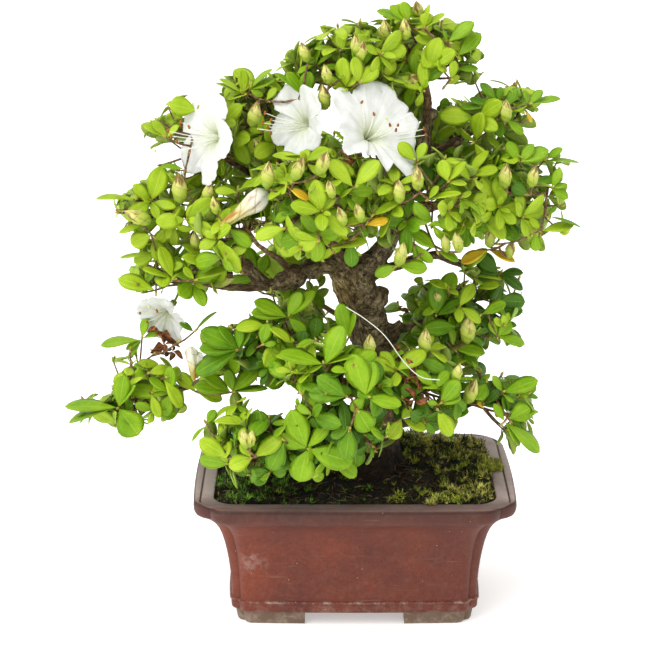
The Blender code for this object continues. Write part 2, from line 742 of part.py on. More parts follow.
def grow_mass(mass, seed, stem, table):
    """All closed shapes of one mass: twigs, leaves, buds and blossoms, by one seeded rule."""
    dice = random.Random(seed)
    shapes = []
    leafy = []
    twiggy = list(samples(stem[1], stem[-1], 8))
    a, b, c = mass.reach
    centre = Vector(mass.centre)
    wanted = round((a * b + b * c + c * a) / TWIG_SHARE)
    arriving = (stem[0] - centre).normalized()
    spin = dice.uniform(0.0, math.tau)

    def leaves_at(tip, heading, count):
        made = []
        for tries in whorl(tip, heading, count, dice):
            for corners in tries:
                spread = leaf_samples(corners)
                crowded = too_near(spread, leafy, LEAF_SPACING) or too_near(spread, twiggy, TWIG_SPACING)
                beside = any((corners[4] - other[4]).length < LEAF_BESIDE for other in made)
                if not crowded and not beside and fits(spread, mass, table):
                    made.append(corners)
                    break
        return made

    def add_twig(start, end):
        spread = samples(start, end)
        if not fits(spread[1:], mass, table) or too_near(spread[1:], leafy, TWIG_SPACING):
            return False
        heading = ((end - start).normalized() + UP * UPWARD).normalized()
        leaves = leaves_at(end, heading, LEAVES_AT_TIP)
        if len(leaves) < LEAVES_AT_LEAST:
            return False
        shapes.append(twig_solid(start, end, TWIG_RADIUS, TWIG_RADIUS_END))
        twiggy.extend(spread)
        for corners in leaves:
            leafy.extend(leaf_samples(corners))
            shapes.append((corners, LEAF_FACES, "leaf"))
        return True

    grown_twigs = 0
    for number in range(wanted * DIRECTION_TRIES):
        if grown_twigs >= wanted:
            break
        out = even_direction(number, spin)
        if out.dot(arriving) > ARRIVING_LIMIT:
            continue
        way = Vector((out.x * a, out.y * b, out.z * c))
        start = point_on(stem, 0.55 + 0.4 * (0.5 + 0.5 * out.z))
        for reach in TWIG_REACHES:
            end = centre + way * reach
            made = add_twig(start, end)
            if made:
                break
        if not made:
            continue
        grown_twigs += 1
        if grown_twigs % BUD_EVERY == 1:
            bud_way = ((end - start).normalized() + UP * 0.6).normalized()
            spread = samples(end, end + bud_way * BUD_LENGTH)
            if fits(spread, mass, table):
                shapes.append((*spindle(end - bud_way, bud_way, BUD_LENGTH, BUD_RADIUS, BUD_SIDES), "petal"))
                leafy.extend(spread)
    for bloom in BLOOMS:
        if bloom.mass == mass.name:
            shapes += bloom_solids(bloom, point_on(stem, BLOOM_BRANCHES_AT))
    if mass.name == WITHERED_MASS:
        shapes += withered_solids(point_on(stem, BLOOM_BRANCHES_AT))
    return shapes


def join_mass(mass, shapes, stem, radii):
    """One Boolean union joins a mass's stem and everything that grows on it."""
    piece = solid(mass.name, *loft(tube_rings(stem, radii, STEM_SIDES)), "leaf")
    growth = bpy.data.collections.new("growth")
    bpy.context.scene.collection.children.link(growth)
    for points, faces, finish in shapes:
        solid("shape", points, faces, finish, growth)
    union = piece.modifiers.new("join", "BOOLEAN")
    union.operation = "UNION"
    union.solver = "EXACT"
    union.operand_type = "COLLECTION"
    union.collection = growth
    union.material_mode = "TRANSFER"
    if not is_closed(piece):
        union.solver = "MANIFOLD"
    apply_modifiers(piece)
    for part in list(growth.objects):
        bpy.data.meshes.remove(part.data)
    bpy.data.collections.remove(growth)
    keep_largest(piece)


def build_masses(limbs):
    """Every mass, kept clear of all limbs, of the other masses' stems and of blossom stalks."""
    stems = {mass.name: mass_stem(mass, limbs) for mass in MASSES}
    bloom_stalks = {}
    for bloom in BLOOMS:
        root = point_on(stems[bloom.mass][0], BLOOM_BRANCHES_AT)
        path = [root, bloom_foot(bloom), Vector(bloom.centre)]
        widths = [PEDICEL_RADIUS, THROAT_RADIUS, THROAT_RADIUS]
        bloom_stalks.setdefault(bloom.mass, []).append((path, widths))
    for number, mass in enumerate(MASSES):
        stem, radii = stems[mass.name]
        others = list(limbs.values())
        others += [limb for name, limb in stems.items() if name != mass.name]
        others += [stalk for name, made in bloom_stalks.items() if name != mass.name for stalk in made]
        shapes = grow_mass(mass, SEED + number, stem, limb_table(others))
        join_mass(mass, shapes, stem, radii)


def stand_on_origin():
    """Move every piece so that the middle of the whole plant's box stands on the origin."""
    pieces = [piece for piece in bpy.data.objects if piece.type == "MESH"]
    corners = [vertex.co for piece in pieces for vertex in piece.data.vertices]
    middle_x = (min(c.x for c in corners) + max(c.x for c in corners)) / 2
    middle_y = (min(c.y for c in corners) + max(c.y for c in corners)) / 2
    for piece in pieces:
        piece.location = (-middle_x, -middle_y, 0.0)


def build():
    """Build the pot, the soil and the whole tree."""
    for old in list(bpy.data.objects):
        bpy.data.objects.remove(old)
    build_pot()
    build_soil()
    limbs = {"trunk": build_trunk()}
    build_boughs(limbs)
    build_masses(limbs)
    stand_on_origin()


build()
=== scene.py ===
"""The look of a satsuki azalea bonsai in flower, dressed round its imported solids.

The file follows the plant from the ground up: the view, the clay pot, the soil with its moss, the
bark of the trunk and boughs, then twigs, leaves, buds and blossoms. Everything is laid out in
millimetres round the middle of the pot, X to the right, Y away from the front and Z up.
"""
import math
import random
from collections import namedtuple

import bmesh
import bpy
import numpy as np
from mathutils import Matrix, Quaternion, Vector, kdtree, noise


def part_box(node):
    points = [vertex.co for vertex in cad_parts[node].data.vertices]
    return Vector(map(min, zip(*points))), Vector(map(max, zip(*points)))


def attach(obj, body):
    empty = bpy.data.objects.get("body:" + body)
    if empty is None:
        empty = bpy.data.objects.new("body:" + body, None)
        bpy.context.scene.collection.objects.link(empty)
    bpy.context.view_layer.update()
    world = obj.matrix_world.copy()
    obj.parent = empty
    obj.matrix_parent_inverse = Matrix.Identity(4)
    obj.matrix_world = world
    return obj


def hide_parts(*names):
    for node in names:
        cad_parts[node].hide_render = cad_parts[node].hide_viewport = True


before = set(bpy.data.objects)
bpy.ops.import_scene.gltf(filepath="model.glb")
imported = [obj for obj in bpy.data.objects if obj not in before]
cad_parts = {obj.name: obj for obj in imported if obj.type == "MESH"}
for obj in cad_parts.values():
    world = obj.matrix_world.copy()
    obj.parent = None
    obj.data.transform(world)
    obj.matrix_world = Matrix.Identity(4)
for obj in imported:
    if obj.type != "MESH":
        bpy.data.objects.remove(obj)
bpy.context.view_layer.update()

# The view. The plant stands on a plain, lit white table that runs on behind it, seen from 1.5 m
# away through a long lens, from a little above its crown. The light is a white room with one
# wide, soft lamp above and to the left of the front.
MM = 0.001
pot_low, pot_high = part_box("pot")
POT_MIDDLE = Vector(((pot_low.x + pot_high.x) / 2, (pot_low.y + pot_high.y) / 2, 0.0))
CAMERA_PLACE = Vector((-20.8, -1454.9, 621.3))
CAMERA_DIP = 16.0
CAMERA_LENS = 119.08
SENSOR_WIDTH = 36.0
PHOTO_MIDDLE = 325.0
FOCAL = CAMERA_LENS / SENSOR_WIDTH * 2 * PHOTO_MIDDLE
TABLE_SIZE = 14.0
TABLE_WHITES = ("#f4f4f2", "#f7f7f5")
TABLE_GLOW = 0.38
ROOM_WHITE = "#ffffff"
ROOM_STRENGTH = 0.95
LAMP_STRENGTH = 1.9
LAMP_SPREAD = 50.0
LAMP_TURN = (38.0, -18.0, -24.0)


def placed(x, y, z):
    """A point in the pot's own millimetres as a place in the frame, in metres."""
    return POT_MIDDLE + Vector((x, y, z)) * MM


def linear(code):
    """A colour written as an sRGB hex value, as the linear values that a shader takes."""
    parts = [int(code[k:k + 2], 16) / 255 for k in (1, 3, 5)]
    return (*(c / 12.92 if c <= 0.04045 else ((c + 0.055) / 1.055) ** 2.4 for c in parts), 1.0)


def plug(finish, value, entry):
    """Give an input a value, or link it to a socket or to the first output that a node has in use."""
    if isinstance(value, bpy.types.Node):
        value = next(end for end in value.outputs if end.enabled)
    if isinstance(value, bpy.types.NodeSocket):
        finish.node_tree.links.new(value, entry)
    else:
        entry.default_value = value


# In order, a noise takes its place, scale, detail and roughness. A map range takes the value, the two
# ends of its range, and what they turn to.
def node(finish, kind, inputs=(), stops=(), **settings):
    """Add one shader node, with its settings, its colour stops, and its inputs by name or in order."""
    made = finish.node_tree.nodes.new("ShaderNode" + kind)
    for name, value in settings.items():
        setattr(made, name, value)
    for number, (place, code) in enumerate(stops):
        points = made.color_ramp.elements
        point = points[number] if number < 2 else points.new(place)
        point.position = place
        point.color = linear(code)
    if isinstance(inputs, dict):
        entries = [(made.inputs[key], value) for key, value in inputs.items()]
    else:
        entries = zip([entry for entry in made.inputs if entry.enabled], inputs)
    for entry, value in entries:
        plug(finish, value, entry)
    return made


def seen(spot):
    """Where a point shows in the photograph, in its pixels, counted from the top left."""
    dip = math.radians(CAMERA_DIP)
    ahead, below = spot[1] - CAMERA_PLACE.y, CAMERA_PLACE.z - spot[2]
    far = ahead * math.cos(dip) + below * math.sin(dip)
    low = below * math.cos(dip) - ahead * math.sin(dip)
    return PHOTO_MIDDLE + FOCAL * (spot[0] - CAMERA_PLACE.x) / far, PHOTO_MIDDLE + FOCAL * low / far


def seen_at(across, down, depth):
    """The point that shows at one pixel of the photograph and lies at a given Y."""
    dip = math.radians(CAMERA_DIP)
    slope = (down - PHOTO_MIDDLE) / FOCAL
    ahead = depth - CAMERA_PLACE.y
    below = ahead * (math.sin(dip) + slope * math.cos(dip)) / (math.cos(dip) - slope * math.sin(dip))
    far = ahead * math.cos(dip) + below * math.sin(dip)
    return Vector((CAMERA_PLACE.x + (across - PHOTO_MIDDLE) * far / FOCAL, depth, CAMERA_PLACE.z - below))


def new_finish(name, roughness, **sockets):
    """A material with one Principled shader, and the object's own coordinates to draw on."""
    finish = bpy.data.materials.new(name)
    finish.use_nodes = True
    shader = finish.node_tree.nodes["Principled BSDF"]
    shader.inputs["Roughness"].default_value = roughness
    for key, value in sockets.items():
        shader.inputs[key.replace("_", " ")].default_value = value
    place = node(finish, "TexCoord").outputs["Object"]
    return finish, shader, place


def colour_into(finish, shader, pattern):
    """Let a pattern give the shader its colour."""
    plug(finish, pattern, shader.inputs["Base Color"])


def relief_into(finish, shader, height, depth_mm, strength=1.0):
    """Let a pattern give the shader its fine relief, with its full height in millimetres."""
    bump = node(finish, "Bump", {"Height": height, "Distance": depth_mm * MM, "Strength": strength})
    plug(finish, bump, shader.inputs["Normal"])


def per_mm(size):
    """The scale of a pattern whose features measure a real size in millimetres."""
    return 1.0 / (size * MM)


camera_data = bpy.data.cameras.new("camera")
camera_data.sensor_width = SENSOR_WIDTH
camera_data.lens = CAMERA_LENS
camera = bpy.data.objects.new("camera", camera_data)
camera.location = placed(*CAMERA_PLACE)
camera.rotation_euler = (math.radians(90.0 - CAMERA_DIP), 0.0, 0.0)
bpy.context.scene.collection.objects.link(camera)
bpy.context.scene.camera = camera
bpy.context.scene.view_settings.view_transform = "Standard"

bpy.ops.object.select_all(action="DESELECT")
bpy.ops.mesh.primitive_plane_add(size=TABLE_SIZE, location=(0.0, TABLE_SIZE * 0.3, 0.0))
table = bpy.context.object
table.name = "table"
# White acrylic sheet lit from below, as on a table for taking photographs of goods
laminate, laminate_shader, laminate_place = new_finish("lit_white_acrylic", 0.6)
laminate_shader.inputs["Emission Color"].default_value = linear("#ffffff")
laminate_shader.inputs["Emission Strength"].default_value = TABLE_GLOW
grain = node(laminate, "TexNoise", (laminate_place, per_mm(400), 2.0))
laminate_tone = node(laminate, "ValToRGB", (grain,), stops=((0.3, TABLE_WHITES[0]), (0.7, TABLE_WHITES[1])))
colour_into(laminate, laminate_shader, laminate_tone)
table.data.materials.append(laminate)

room = bpy.data.worlds.new("white_room")
room.use_nodes = True
room.node_tree.nodes["Background"].inputs["Color"].default_value = linear(ROOM_WHITE)
room.node_tree.nodes["Background"].inputs["Strength"].default_value = ROOM_STRENGTH
bpy.context.scene.world = room
lamp_data = bpy.data.lights.new("soft_lamp", "SUN")
lamp_data.energy = LAMP_STRENGTH
lamp_data.angle = math.radians(LAMP_SPREAD)
lamp = bpy.data.objects.new("soft_lamp", lamp_data)
lamp.rotation_euler = [math.radians(turn) for turn in LAMP_TURN]
bpy.context.scene.collection.objects.link(lamp)


# The pot. A slab-built rectangular bonsai pot of unglazed purple-brown stoneware: notched corners,
# a flat overhanging rim with an incised line, a concave wall with a bead at its foot, and four
# L-shaped corner feet. It was burnished before firing, and has pale lime marks from watering.
POT_HALF_LENGTH = 112.0
POT_HALF_DEPTH = 82.5
SIDE_BOW = 1.5
RIM_CORNER = 16.0
CORNER_STEPS = 8
LONG_STEPS = 6
SHORT_STEPS = 4
FOOT_HEIGHT = 10.0
FOOT_WALL = 13.0
FOOT_INSET = 29.5
FOOT_ROOM = (POT_HALF_LENGTH - FOOT_INSET - FOOT_WALL, POT_HALF_DEPTH - FOOT_INSET - FOOT_WALL)
FRONT_OPENING = (35.0, 90.0)
SIDE_OPENING = (120.0, 24.0)
HOLE_OFF = 34.0
HOLE_HALF = 7.0
RUBBED = (-72.0, -58.0, 50.0)
# Height, inset from the rim's edge, depth of the corner notch, and how far the corner is rounded
POT_WALL = (
    (0.0, 30.6, 5.0, 0.0), (0.5, 29.9, 5.0, 0.0), (1.6, 29.3, 5.0, 0.0), (9.2, 27.9, 5.5, 0.0),
    (9.8, 27.6, 5.5, 0.0), (10.1, 26.2, 5.8, 0.0), (10.6, 25.5, 6.0, 0.0), (11.6, 25.1, 6.0, 0.0),
    (16.6, 24.8, 6.0, 0.0), (17.2, 24.3, 6.0, 0.0), (18.0, 24.0, 6.0, 0.0), (18.8, 24.4, 6.0, 0.0),
    (19.3, 25.3, 6.0, 0.0), (20.2, 25.6, 6.0, 0.0), (28.0, 25.2, 6.2, 0.0), (38.0, 24.4, 6.5, 0.0),
    (46.0, 23.4, 7.0, 0.0), (54.0, 22.0, 7.5, 0.0), (60.0, 20.7, 8.0, 0.0), (66.0, 19.0, 8.5, 0.0),
    (70.5, 17.2, 9.0, 0.0), (74.5, 14.9, 9.5, 0.0), (77.6, 12.3, 10.0, 0.0), (80.2, 9.5, 10.5, 0.0),
    (82.0, 7.0, 11.0, 0.0), (83.4, 4.6, 11.5, 0.0), (84.4, 2.9, 11.6, 0.0), (85.4, 1.7, 11.8, 0.0),
    (87.0, 0.8, 12.0, 0.0), (89.0, 0.3, 12.0, 0.0), (91.5, 0.1, 12.0, 0.0), (93.3, 0.2, 12.0, 0.0),
    (94.6, 0.6, 12.0, 0.0), (95.5, 1.3, 12.0, 0.05), (95.9, 2.2, 12.0, 0.2), (96.0, 3.2, 12.0, 0.55),
    (95.9, 4.2, 12.0, 0.9), (95.2, 4.7, 12.0, 0.95), (95.0, 5.1, 12.0, 1.0), (95.3, 5.5, 12.0, 1.0),
    (95.8, 6.0, 12.0, 1.0), (95.9, 7.0, 12.0, 1.0), (95.9, 12.8, 12.0, 1.0), (95.5, 13.9, 12.0, 1.0),
    (94.7, 14.5, 12.0, 1.0), (90.0, 15.2, 12.0, 1.0), (70.0, 22.0, 12.0, 1.0), (40.0, 29.0, 12.0, 1.0),
    (19.0, 34.0, 12.0, 1.0),
)


def arc(centre, radius, start, end, steps):
    """Points on an arc between two angles in degrees."""
    turns = [math.radians(start + (end - start) * k / steps) for k in range(steps + 1)]
    return [Vector((centre[0] + radius * math.cos(t), centre[1] + radius * math.sin(t))) for t in turns]


def pot_corner(half_length, half_depth, notch, rounding):
    """The right back corner: two rounded lobes with a groove between them, or one plain round."""
    side_lobe = arc((half_length - notch, half_depth - 2 * notch), notch, 0, 90, CORNER_STEPS)
    back_lobe = arc((half_length - 2 * notch, half_depth - notch), notch, 0, 90, CORNER_STEPS)
    lobed = side_lobe + back_lobe[1:]
    plain = arc((half_length - RIM_CORNER, half_depth - RIM_CORNER), RIM_CORNER, 0, 90, 2 * CORNER_STEPS)
    return [a.lerp(b, rounding) for a, b in zip(lobed, plain)]


def pot_ring(height, inset, notch, rounding):
    """One closed outline of the pot, with its long and short sides bowed a little outwards."""
    half_length = POT_HALF_LENGTH - inset
    half_depth = POT_HALF_DEPTH - inset
    corner = pot_corner(half_length, half_depth, notch, rounding)
    bow = SIDE_BOW * (1.0 - rounding)
    quarter = []
    for k in range(SHORT_STEPS):
        share = k / SHORT_STEPS
        quarter.append(Vector((half_length + bow * (1 - share * share), corner[0].y * share)))
    quarter += corner
    for k in range(LONG_STEPS - 1, -1, -1):
        share = k / LONG_STEPS
        quarter.append(Vector((corner[-1].x * share, half_depth + bow * (1 - share * share))))
    half = quarter + [Vector((-p.x, p.y)) for p in reversed(quarter[:-1])]
    whole = half + [Vector((p.x, -p.y)) for p in reversed(half[1:-1])]
    return [Vector((p.x, p.y, height)) for p in whole]


def raised(name, rings):
    """Model a closed body as by hand: a filled circle, extruded once for each further outline."""
    bpy.ops.object.select_all(action="DESELECT")
    bpy.ops.mesh.primitive_circle_add(vertices=len(rings[0]), radius=0.1, fill_type="NGON")
    piece = bpy.context.object
    piece.name = name
    piece.data.name = name
    bpy.ops.object.mode_set(mode="EDIT")
    shape = bmesh.from_edit_mesh(piece.data)
    number = shape.verts.layers.int.new("number")
    for k, corner in enumerate(shape.verts):
        corner[number] = k
        corner.co = placed(*rings[0][k])
    for ring in rings[1:]:
        bpy.ops.mesh.extrude_region_move()
        shape = bmesh.from_edit_mesh(piece.data)
        number = shape.verts.layers.int["number"]
        for corner in shape.verts:
            if corner.select:
                corner.co = placed(*ring[corner[number]])
    bpy.ops.mesh.select_all(action="SELECT")
    bpy.ops.mesh.normals_make_consistent(inside=False)
    bpy.ops.object.mode_set(mode="OBJECT")
    return piece


def select_only(piece):
    """Select one piece and nothing else, and make it the active one."""
    bpy.ops.object.select_all(action="DESELECT")
    piece.select_set(True)
    bpy.context.view_layer.objects.active = piece


def apply_all(piece):
    """Apply every modifier of a piece, in order."""
    select_only(piece)
    for change in list(piece.modifiers):
        bpy.ops.object.modifier_apply(modifier=change.name)


def cut_away(piece, middle, half_sizes, round_mm):
    """Take a block with rounded upright edges out of a piece."""
    bpy.ops.object.select_all(action="DESELECT")
    bpy.ops.mesh.primitive_cube_add(size=2.0)
    block = bpy.context.object
    for corner in block.data.vertices:
        x, y, z = (middle[k] + corner.co[k] * half_sizes[k] for k in range(3))
        corner.co = placed(x, y, z)
    softened = block.modifiers.new("round", "BEVEL")
    softened.width = round_mm * MM
    softened.segments = 4
    softened.limit_method = "NONE"
    apply_all(block)
    knife = piece.modifiers.new("cut", "BOOLEAN")
    knife.operation = "DIFFERENCE"
    knife.solver = "EXACT"
    knife.object = block
    apply_all(piece)
    bpy.data.objects.remove(block)


pot = raised("clay_pot", [pot_ring(*station) for station in POT_WALL])
# The room between the feet, the gaps between them along both pairs of sides, and two drain holes
cut_away(pot, (0, 0, 0), (*FOOT_ROOM, FOOT_HEIGHT), 4.0)
cut_away(pot, (0, 0, -2.0), (*FRONT_OPENING, FOOT_HEIGHT + 2.0), 1.2)
cut_away(pot, (0, 0, -2.0), (*SIDE_OPENING, FOOT_HEIGHT + 2.0), 1.2)
for side in (-1, 1):
    cut_away(pot, (side * HOLE_OFF, 0, 10.0), (HOLE_HALF, HOLE_HALF, 20.0), 4.0)
select_only(pot)
bpy.ops.object.shade_smooth_by_angle(angle=math.radians(32))

# Unglazed stoneware: warm brown with purple clouds, darker on the rim, with a painted grey reflection
# on the rim's top, dusted with pale lime near the bead and the feet. Burnishing leaves a soft sheen
# and faint scratches.
clay, clay_shader, clay_place = new_finish("burnished_stoneware", 0.5, IOR=1.45, Specular_IOR_Level=0.35)
clay_x, clay_y, clay_z = node(clay, "SeparateXYZ", (clay_place,)).outputs
clouds = node(clay, "TexNoise", (clay_place, per_mm(38), 5.0, 0.62))
clay_tone = node(clay, "ValToRGB", (clouds,), stops=((0.28, "#5e2c21"), (0.72, "#7f3a24"), (0.5, "#6e3120")))
fine = node(clay, "TexNoise", (clay_place, per_mm(2.2), 6.0, 0.7))
fine_tone = node(clay, "ValToRGB", (fine,), stops=((0.35, "#b9b0ac"), (0.65, "#ffffff")))
speckled = node(clay, "Mix", (0.55, clay_tone, fine_tone), data_type="RGBA", blend_type="MULTIPLY")
# The rim's face fired darker
up_rim = node(clay, "MapRange", (clay_z, 0.076, 0.092, 0.0, 0.62))
# Painted shadow: a thin dark line under the rim's upper edge
edge_up = node(clay, "Math", (clay_z, 0.0941), operation="SUBTRACT")
edge_off = node(clay, "Math", (edge_up,), operation="ABSOLUTE")
painted_edge_shadow = node(clay, "MapRange", (edge_off, 0.0003, 0.0011, 0.55, 0.0))
# Painted shade: the clay darkens towards the right-hand end, away from the light
painted_right_shade = node(clay, "MapRange", (clay_x, -0.060, 0.120, 0.0, 0.30))
# Painted reflection: the rim's flat top is lightened to purple-grey in clouds, less so along its front edge
on_top = node(clay, "MapRange", (clay_z, 0.0951, 0.0958, 0.0, 1.9))
reflection_front_fade = node(clay, "MapRange", (clay_y, -0.076, -0.060, 0.30, 1.0))
painted_reflection_share = node(clay, "Math", (on_top, reflection_front_fade), operation="MULTIPLY")
painted_top_reflection = node(clay, "Math", (painted_reflection_share, clouds), operation="MULTIPLY", use_clamp=True)
# Lime and dust: thick at the bead and feet, thin patches elsewhere
low_down = node(clay, "MapRange", (clay_z, 0.004, 0.020, 0.38, 0.0))
bead_up = node(clay, "Math", (clay_z, 0.0182), operation="SUBTRACT")
bead_off = node(clay, "Math", (bead_up,), operation="ABSOLUTE")
bead = node(clay, "MapRange", (bead_off, 0.0003, 0.0013, 0.65, 0.0))
lime_amount = node(clay, "Math", (low_down, bead), operation="MAXIMUM")
lime_wide = node(clay, "Math", (lime_amount, 0.05), operation="ADD")
crust = node(clay, "TexNoise", (clay_place, per_mm(7), 8.0, 0.75))
crust_edge = node(clay, "MapRange", (crust, 0.46, 0.72, 0.0, 1.4))
lime = node(clay, "Math", (lime_wide, crust_edge), operation="MULTIPLY", use_clamp=True)
footed = node(clay, "MapRange", (clay_z, 0.0085, 0.0115, 0.72, 0.0))
# Scratches: thin slanting lines
slant = node(clay, "Mapping", {"Vector": clay_place, "Rotation": (0.0, math.radians(24), 0.0),
                               "Scale": (1.0, 1.0, 9.0)})
scratch = node(clay, "TexNoise", (slant, per_mm(26), 3.0))
scratch_line = node(clay, "MapRange", (scratch, 0.66, 0.76, 0.0, 0.12))
# A rubbed, pale patch at the left of the front, where the pot has been knocked
rub_off = node(clay, "VectorMath", (clay_place, placed(*RUBBED)), operation="DISTANCE")
rub_near = node(clay, "MapRange", (rub_off.outputs["Value"], 0.004, 0.014, 1.0, 0.0))
rub_rough = node(clay, "MapRange", (crust, 0.48, 0.66, 0.0, 0.42))
rub = node(clay, "Math", (rub_near, rub_rough), operation="MULTIPLY")
# A few grains of grit that fired pale
grit = node(clay, "TexVoronoi", (clay_place, per_mm(8)))
grit_spot = node(clay, "MapRange", (grit.outputs["Distance"], 0.03, 0.05, 0.6, 0.0))
# Each of these lays its own colour over what lies below it
clay_colour = speckled
for share, code in ((up_rim, "#3e2a25"), (painted_edge_shadow, "#21120c"), (painted_right_shade, "#2a140e"), (painted_top_reflection, "#a8968f"),
                    (footed, "#675a47"), (lime, "#ab9c8e"), (scratch_line, "#a88a7c"), (rub, "#b0948a"),
                    (grit_spot, "#c9b9a6")):
    clay_colour = node(clay, "Mix", (share, clay_colour, linear(code)), data_type="RGBA")
colour_into(clay, clay_shader, clay_colour)
dull = node(clay, "MapRange", (crust, 0.3, 0.7, 0.42, 0.68))
plug(clay, dull, clay_shader.inputs["Roughness"])
relief_into(clay, clay_shader, fine, 0.18)
pot.data.materials.clear()
pot.data.materials.append(clay)
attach(pot, "root")
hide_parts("pot")


# The soil. Damp dark potting soil in a root ball that fills the pot, heaped towards the trunk,
# with a worn surface of humus between cushions of moss.
GROUND = 102.0
SOIL_EDGE = 94.0
SOIL_MOUND = 16.0
MOUND_CENTRE = Vector((2.0, 26.0))
MOUND_SPREAD = Vector((72.0, 40.0))
TRUNK_FOOT = Vector((13.0, -8.0))
FOOT_RADIUS = 34.0
SOIL_RINGS = 18
# Height and inset from the rim's edge, from the pot's floor up to the surface
SOIL_WALL = ((19.4, 34.4), (40.0, 30.0), (70.0, 22.8), (88.0, 16.0), (SOIL_EDGE - 1.0, 15.1))


def bumps(x, y, z, size, octaves=3):
    """Fractal noise between about -1 and 1 whose largest features have a given size."""
    return noise.fractal(Vector((x, y, z)) / size, 0.9, 2.1, octaves, noise_basis="PERLIN_ORIGINAL")


def soil_height(x, y):
    """The height of the soil: low at the pot's edge, heaped behind, level at the trunk's foot."""
    far = ((x - MOUND_CENTRE.x) / MOUND_SPREAD.x) ** 2 + ((y - MOUND_CENTRE.y) / MOUND_SPREAD.y) ** 2
    heap = SOIL_EDGE + SOIL_MOUND * math.exp(-far)
    near = math.exp(-(((x - TRUNK_FOOT.x) ** 2 + (y - TRUNK_FOOT.y) ** 2) / FOOT_RADIUS ** 2) ** 1.5)
    return heap + (GROUND + 1.0 - heap) * near


rings = [pot_ring(height, inset, 12.0, 1.0) for height, inset in SOIL_WALL]
edge = rings[-1]
for step in range(1, SOIL_RINGS):
    share = step / SOIL_RINGS
    ring = []
    for outer in edge:
        x = outer.x + (TRUNK_FOOT.x - outer.x) * share
        y = outer.y + (TRUNK_FOOT.y - outer.y) * share
        rise = min(1.0, share * 4.0)
        level = edge[0].z + (soil_height(x, y) - edge[0].z) * rise
        ring.append(Vector((x, y, level + 1.3 * rise * bumps(x, y, 0.0, 9.0))))
    rings.append(ring)
soil = raised("root_ball", rings)
smoother = soil.modifiers.new("finer", "SUBSURF")
smoother.levels = 1
smoother.render_levels = 1
apply_all(soil)
for corner in soil.data.vertices:
    spot = (corner.co - POT_MIDDLE) / MM
    if spot.z > SOIL_EDGE - 3.0:
        corner.co.z += 0.5 * MM * bumps(spot.x, spot.y, spot.z, 2.4)
bpy.ops.object.shade_smooth()
# Humus: near-black when damp, with brown fibres and crumbs a few millimetres across
humus, humus_shader, humus_place = new_finish("damp_humus", 0.85)
crumbs = node(humus, "TexNoise", (humus_place, per_mm(4), 8.0, 0.75))
humus_tone = node(humus, "ValToRGB", (crumbs,),
                  stops=((0.3, "#0b0805"), (0.75, "#36291a"), (0.52, "#191109")))
colour_into(humus, humus_shader, humus_tone)
relief_into(humus, humus_shader, crumbs, 1.5)
soil.data.materials.clear()
soil.data.materials.append(humus)
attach(soil, "root")
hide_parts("soil")


# Moss and litter. Cushions of moss cover the soil, fresh and deep green at the left, bleached
# yellow-green down the right slope and over the rim, worn away round the trunk, where brown
# needles and bits of bark lie on the bare humus.
Lists = namedtuple("Lists", "points faces looks marks")


def new_lists():
    """Empty lists for a mesh: points, faces, the finish of each face, and a mark on each corner."""
    return Lists([], [], [], [])


def piece_from(name, lists, finishes, marks_name="", smooth=True):
    """A mesh object from such lists, whose points lie in the pot's millimetres."""
    mesh = bpy.data.meshes.new(name)
    points = np.asarray(lists.points, dtype=float) * MM + np.array(POT_MIDDLE)
    corners = [np.asarray(face, dtype=np.int32) for face in lists.faces]
    counts = np.array([len(face) for face in lists.faces], dtype=np.int32)
    mesh.vertices.add(len(points))
    mesh.vertices.foreach_set("co", points.astype(np.float32).ravel())
    mesh.loops.add(int(counts.sum()))
    mesh.loops.foreach_set("vertex_index", np.concatenate(corners))
    mesh.polygons.add(len(counts))
    mesh.polygons.foreach_set("loop_start", (np.cumsum(counts) - counts).astype(np.int32))
    for finish in finishes:
        mesh.materials.append(finish)
    mesh.polygons.foreach_set("material_index", np.asarray(lists.looks, dtype=np.int32))
    mesh.polygons.foreach_set("use_smooth", np.full(len(counts), smooth))
    mesh.update(calc_edges=True)
    if marks_name:
        layer = mesh.uv_layers.new(name=marks_name)
        layer.data.foreach_set("uv", [part for mark in lists.marks for part in mark])
    piece = bpy.data.objects.new(name, mesh)
    bpy.context.scene.collection.objects.link(piece)
    return piece


def cloudy_finish(name, roughness, size_mm, stops, detail=3.0):
    """A finish of soft clouds of colour, whose size is given in millimetres."""
    finish, shader, place = new_finish(name, roughness)
    clouds = node(finish, "TexNoise", (place, per_mm(size_mm), detail))
    tone = node(finish, "ValToRGB", (clouds,), stops=stops)
    colour_into(finish, shader, tone)
    return finish


MOSS_TUFTS = 3750
MOSS_LEAVES = 8
MOSS_LEAF_LENGTH = (2.2, 6.4)
MOSS_LEAF_WIDTH = 0.75
MOSS_THICK = 0.12
MOSS_CUSHION = 11.0
MOSS_SIDES = ((1, 2), (2, 3), (3, 1))
RIM_TUFTS = 210
RIM_FROM = Vector((90.0, 6.0, 96.2))
# How far the moss over the rim reaches outwards, to either side and up
RIM_TUFT_REACH = Vector((15.0, 17.0, 2.6))
FRONT_SPRIGS = 16
FRONT_SPRIG = Vector((52.0, -69.0, 96.0))
moss_dice = random.Random(41)


def moss_cover(x, y):
    """How much of the ground is moss: thick at the sides and back, worn in front of the trunk."""
    worn = math.exp(-(((x - 22.0) / 34.0) ** 2 + ((y + 30.0) / 30.0) ** 2))
    worn += 0.6 * math.exp(-(((x + 18.0) / 26.0) ** 2 + ((y + 52.0) / 16.0) ** 2))
    patchy = 0.6 * bumps(x, y, 7.0, 15.0) + 0.5 * bumps(x, y, 11.0, 6.0)
    return 0.76 - 0.95 * worn + patchy


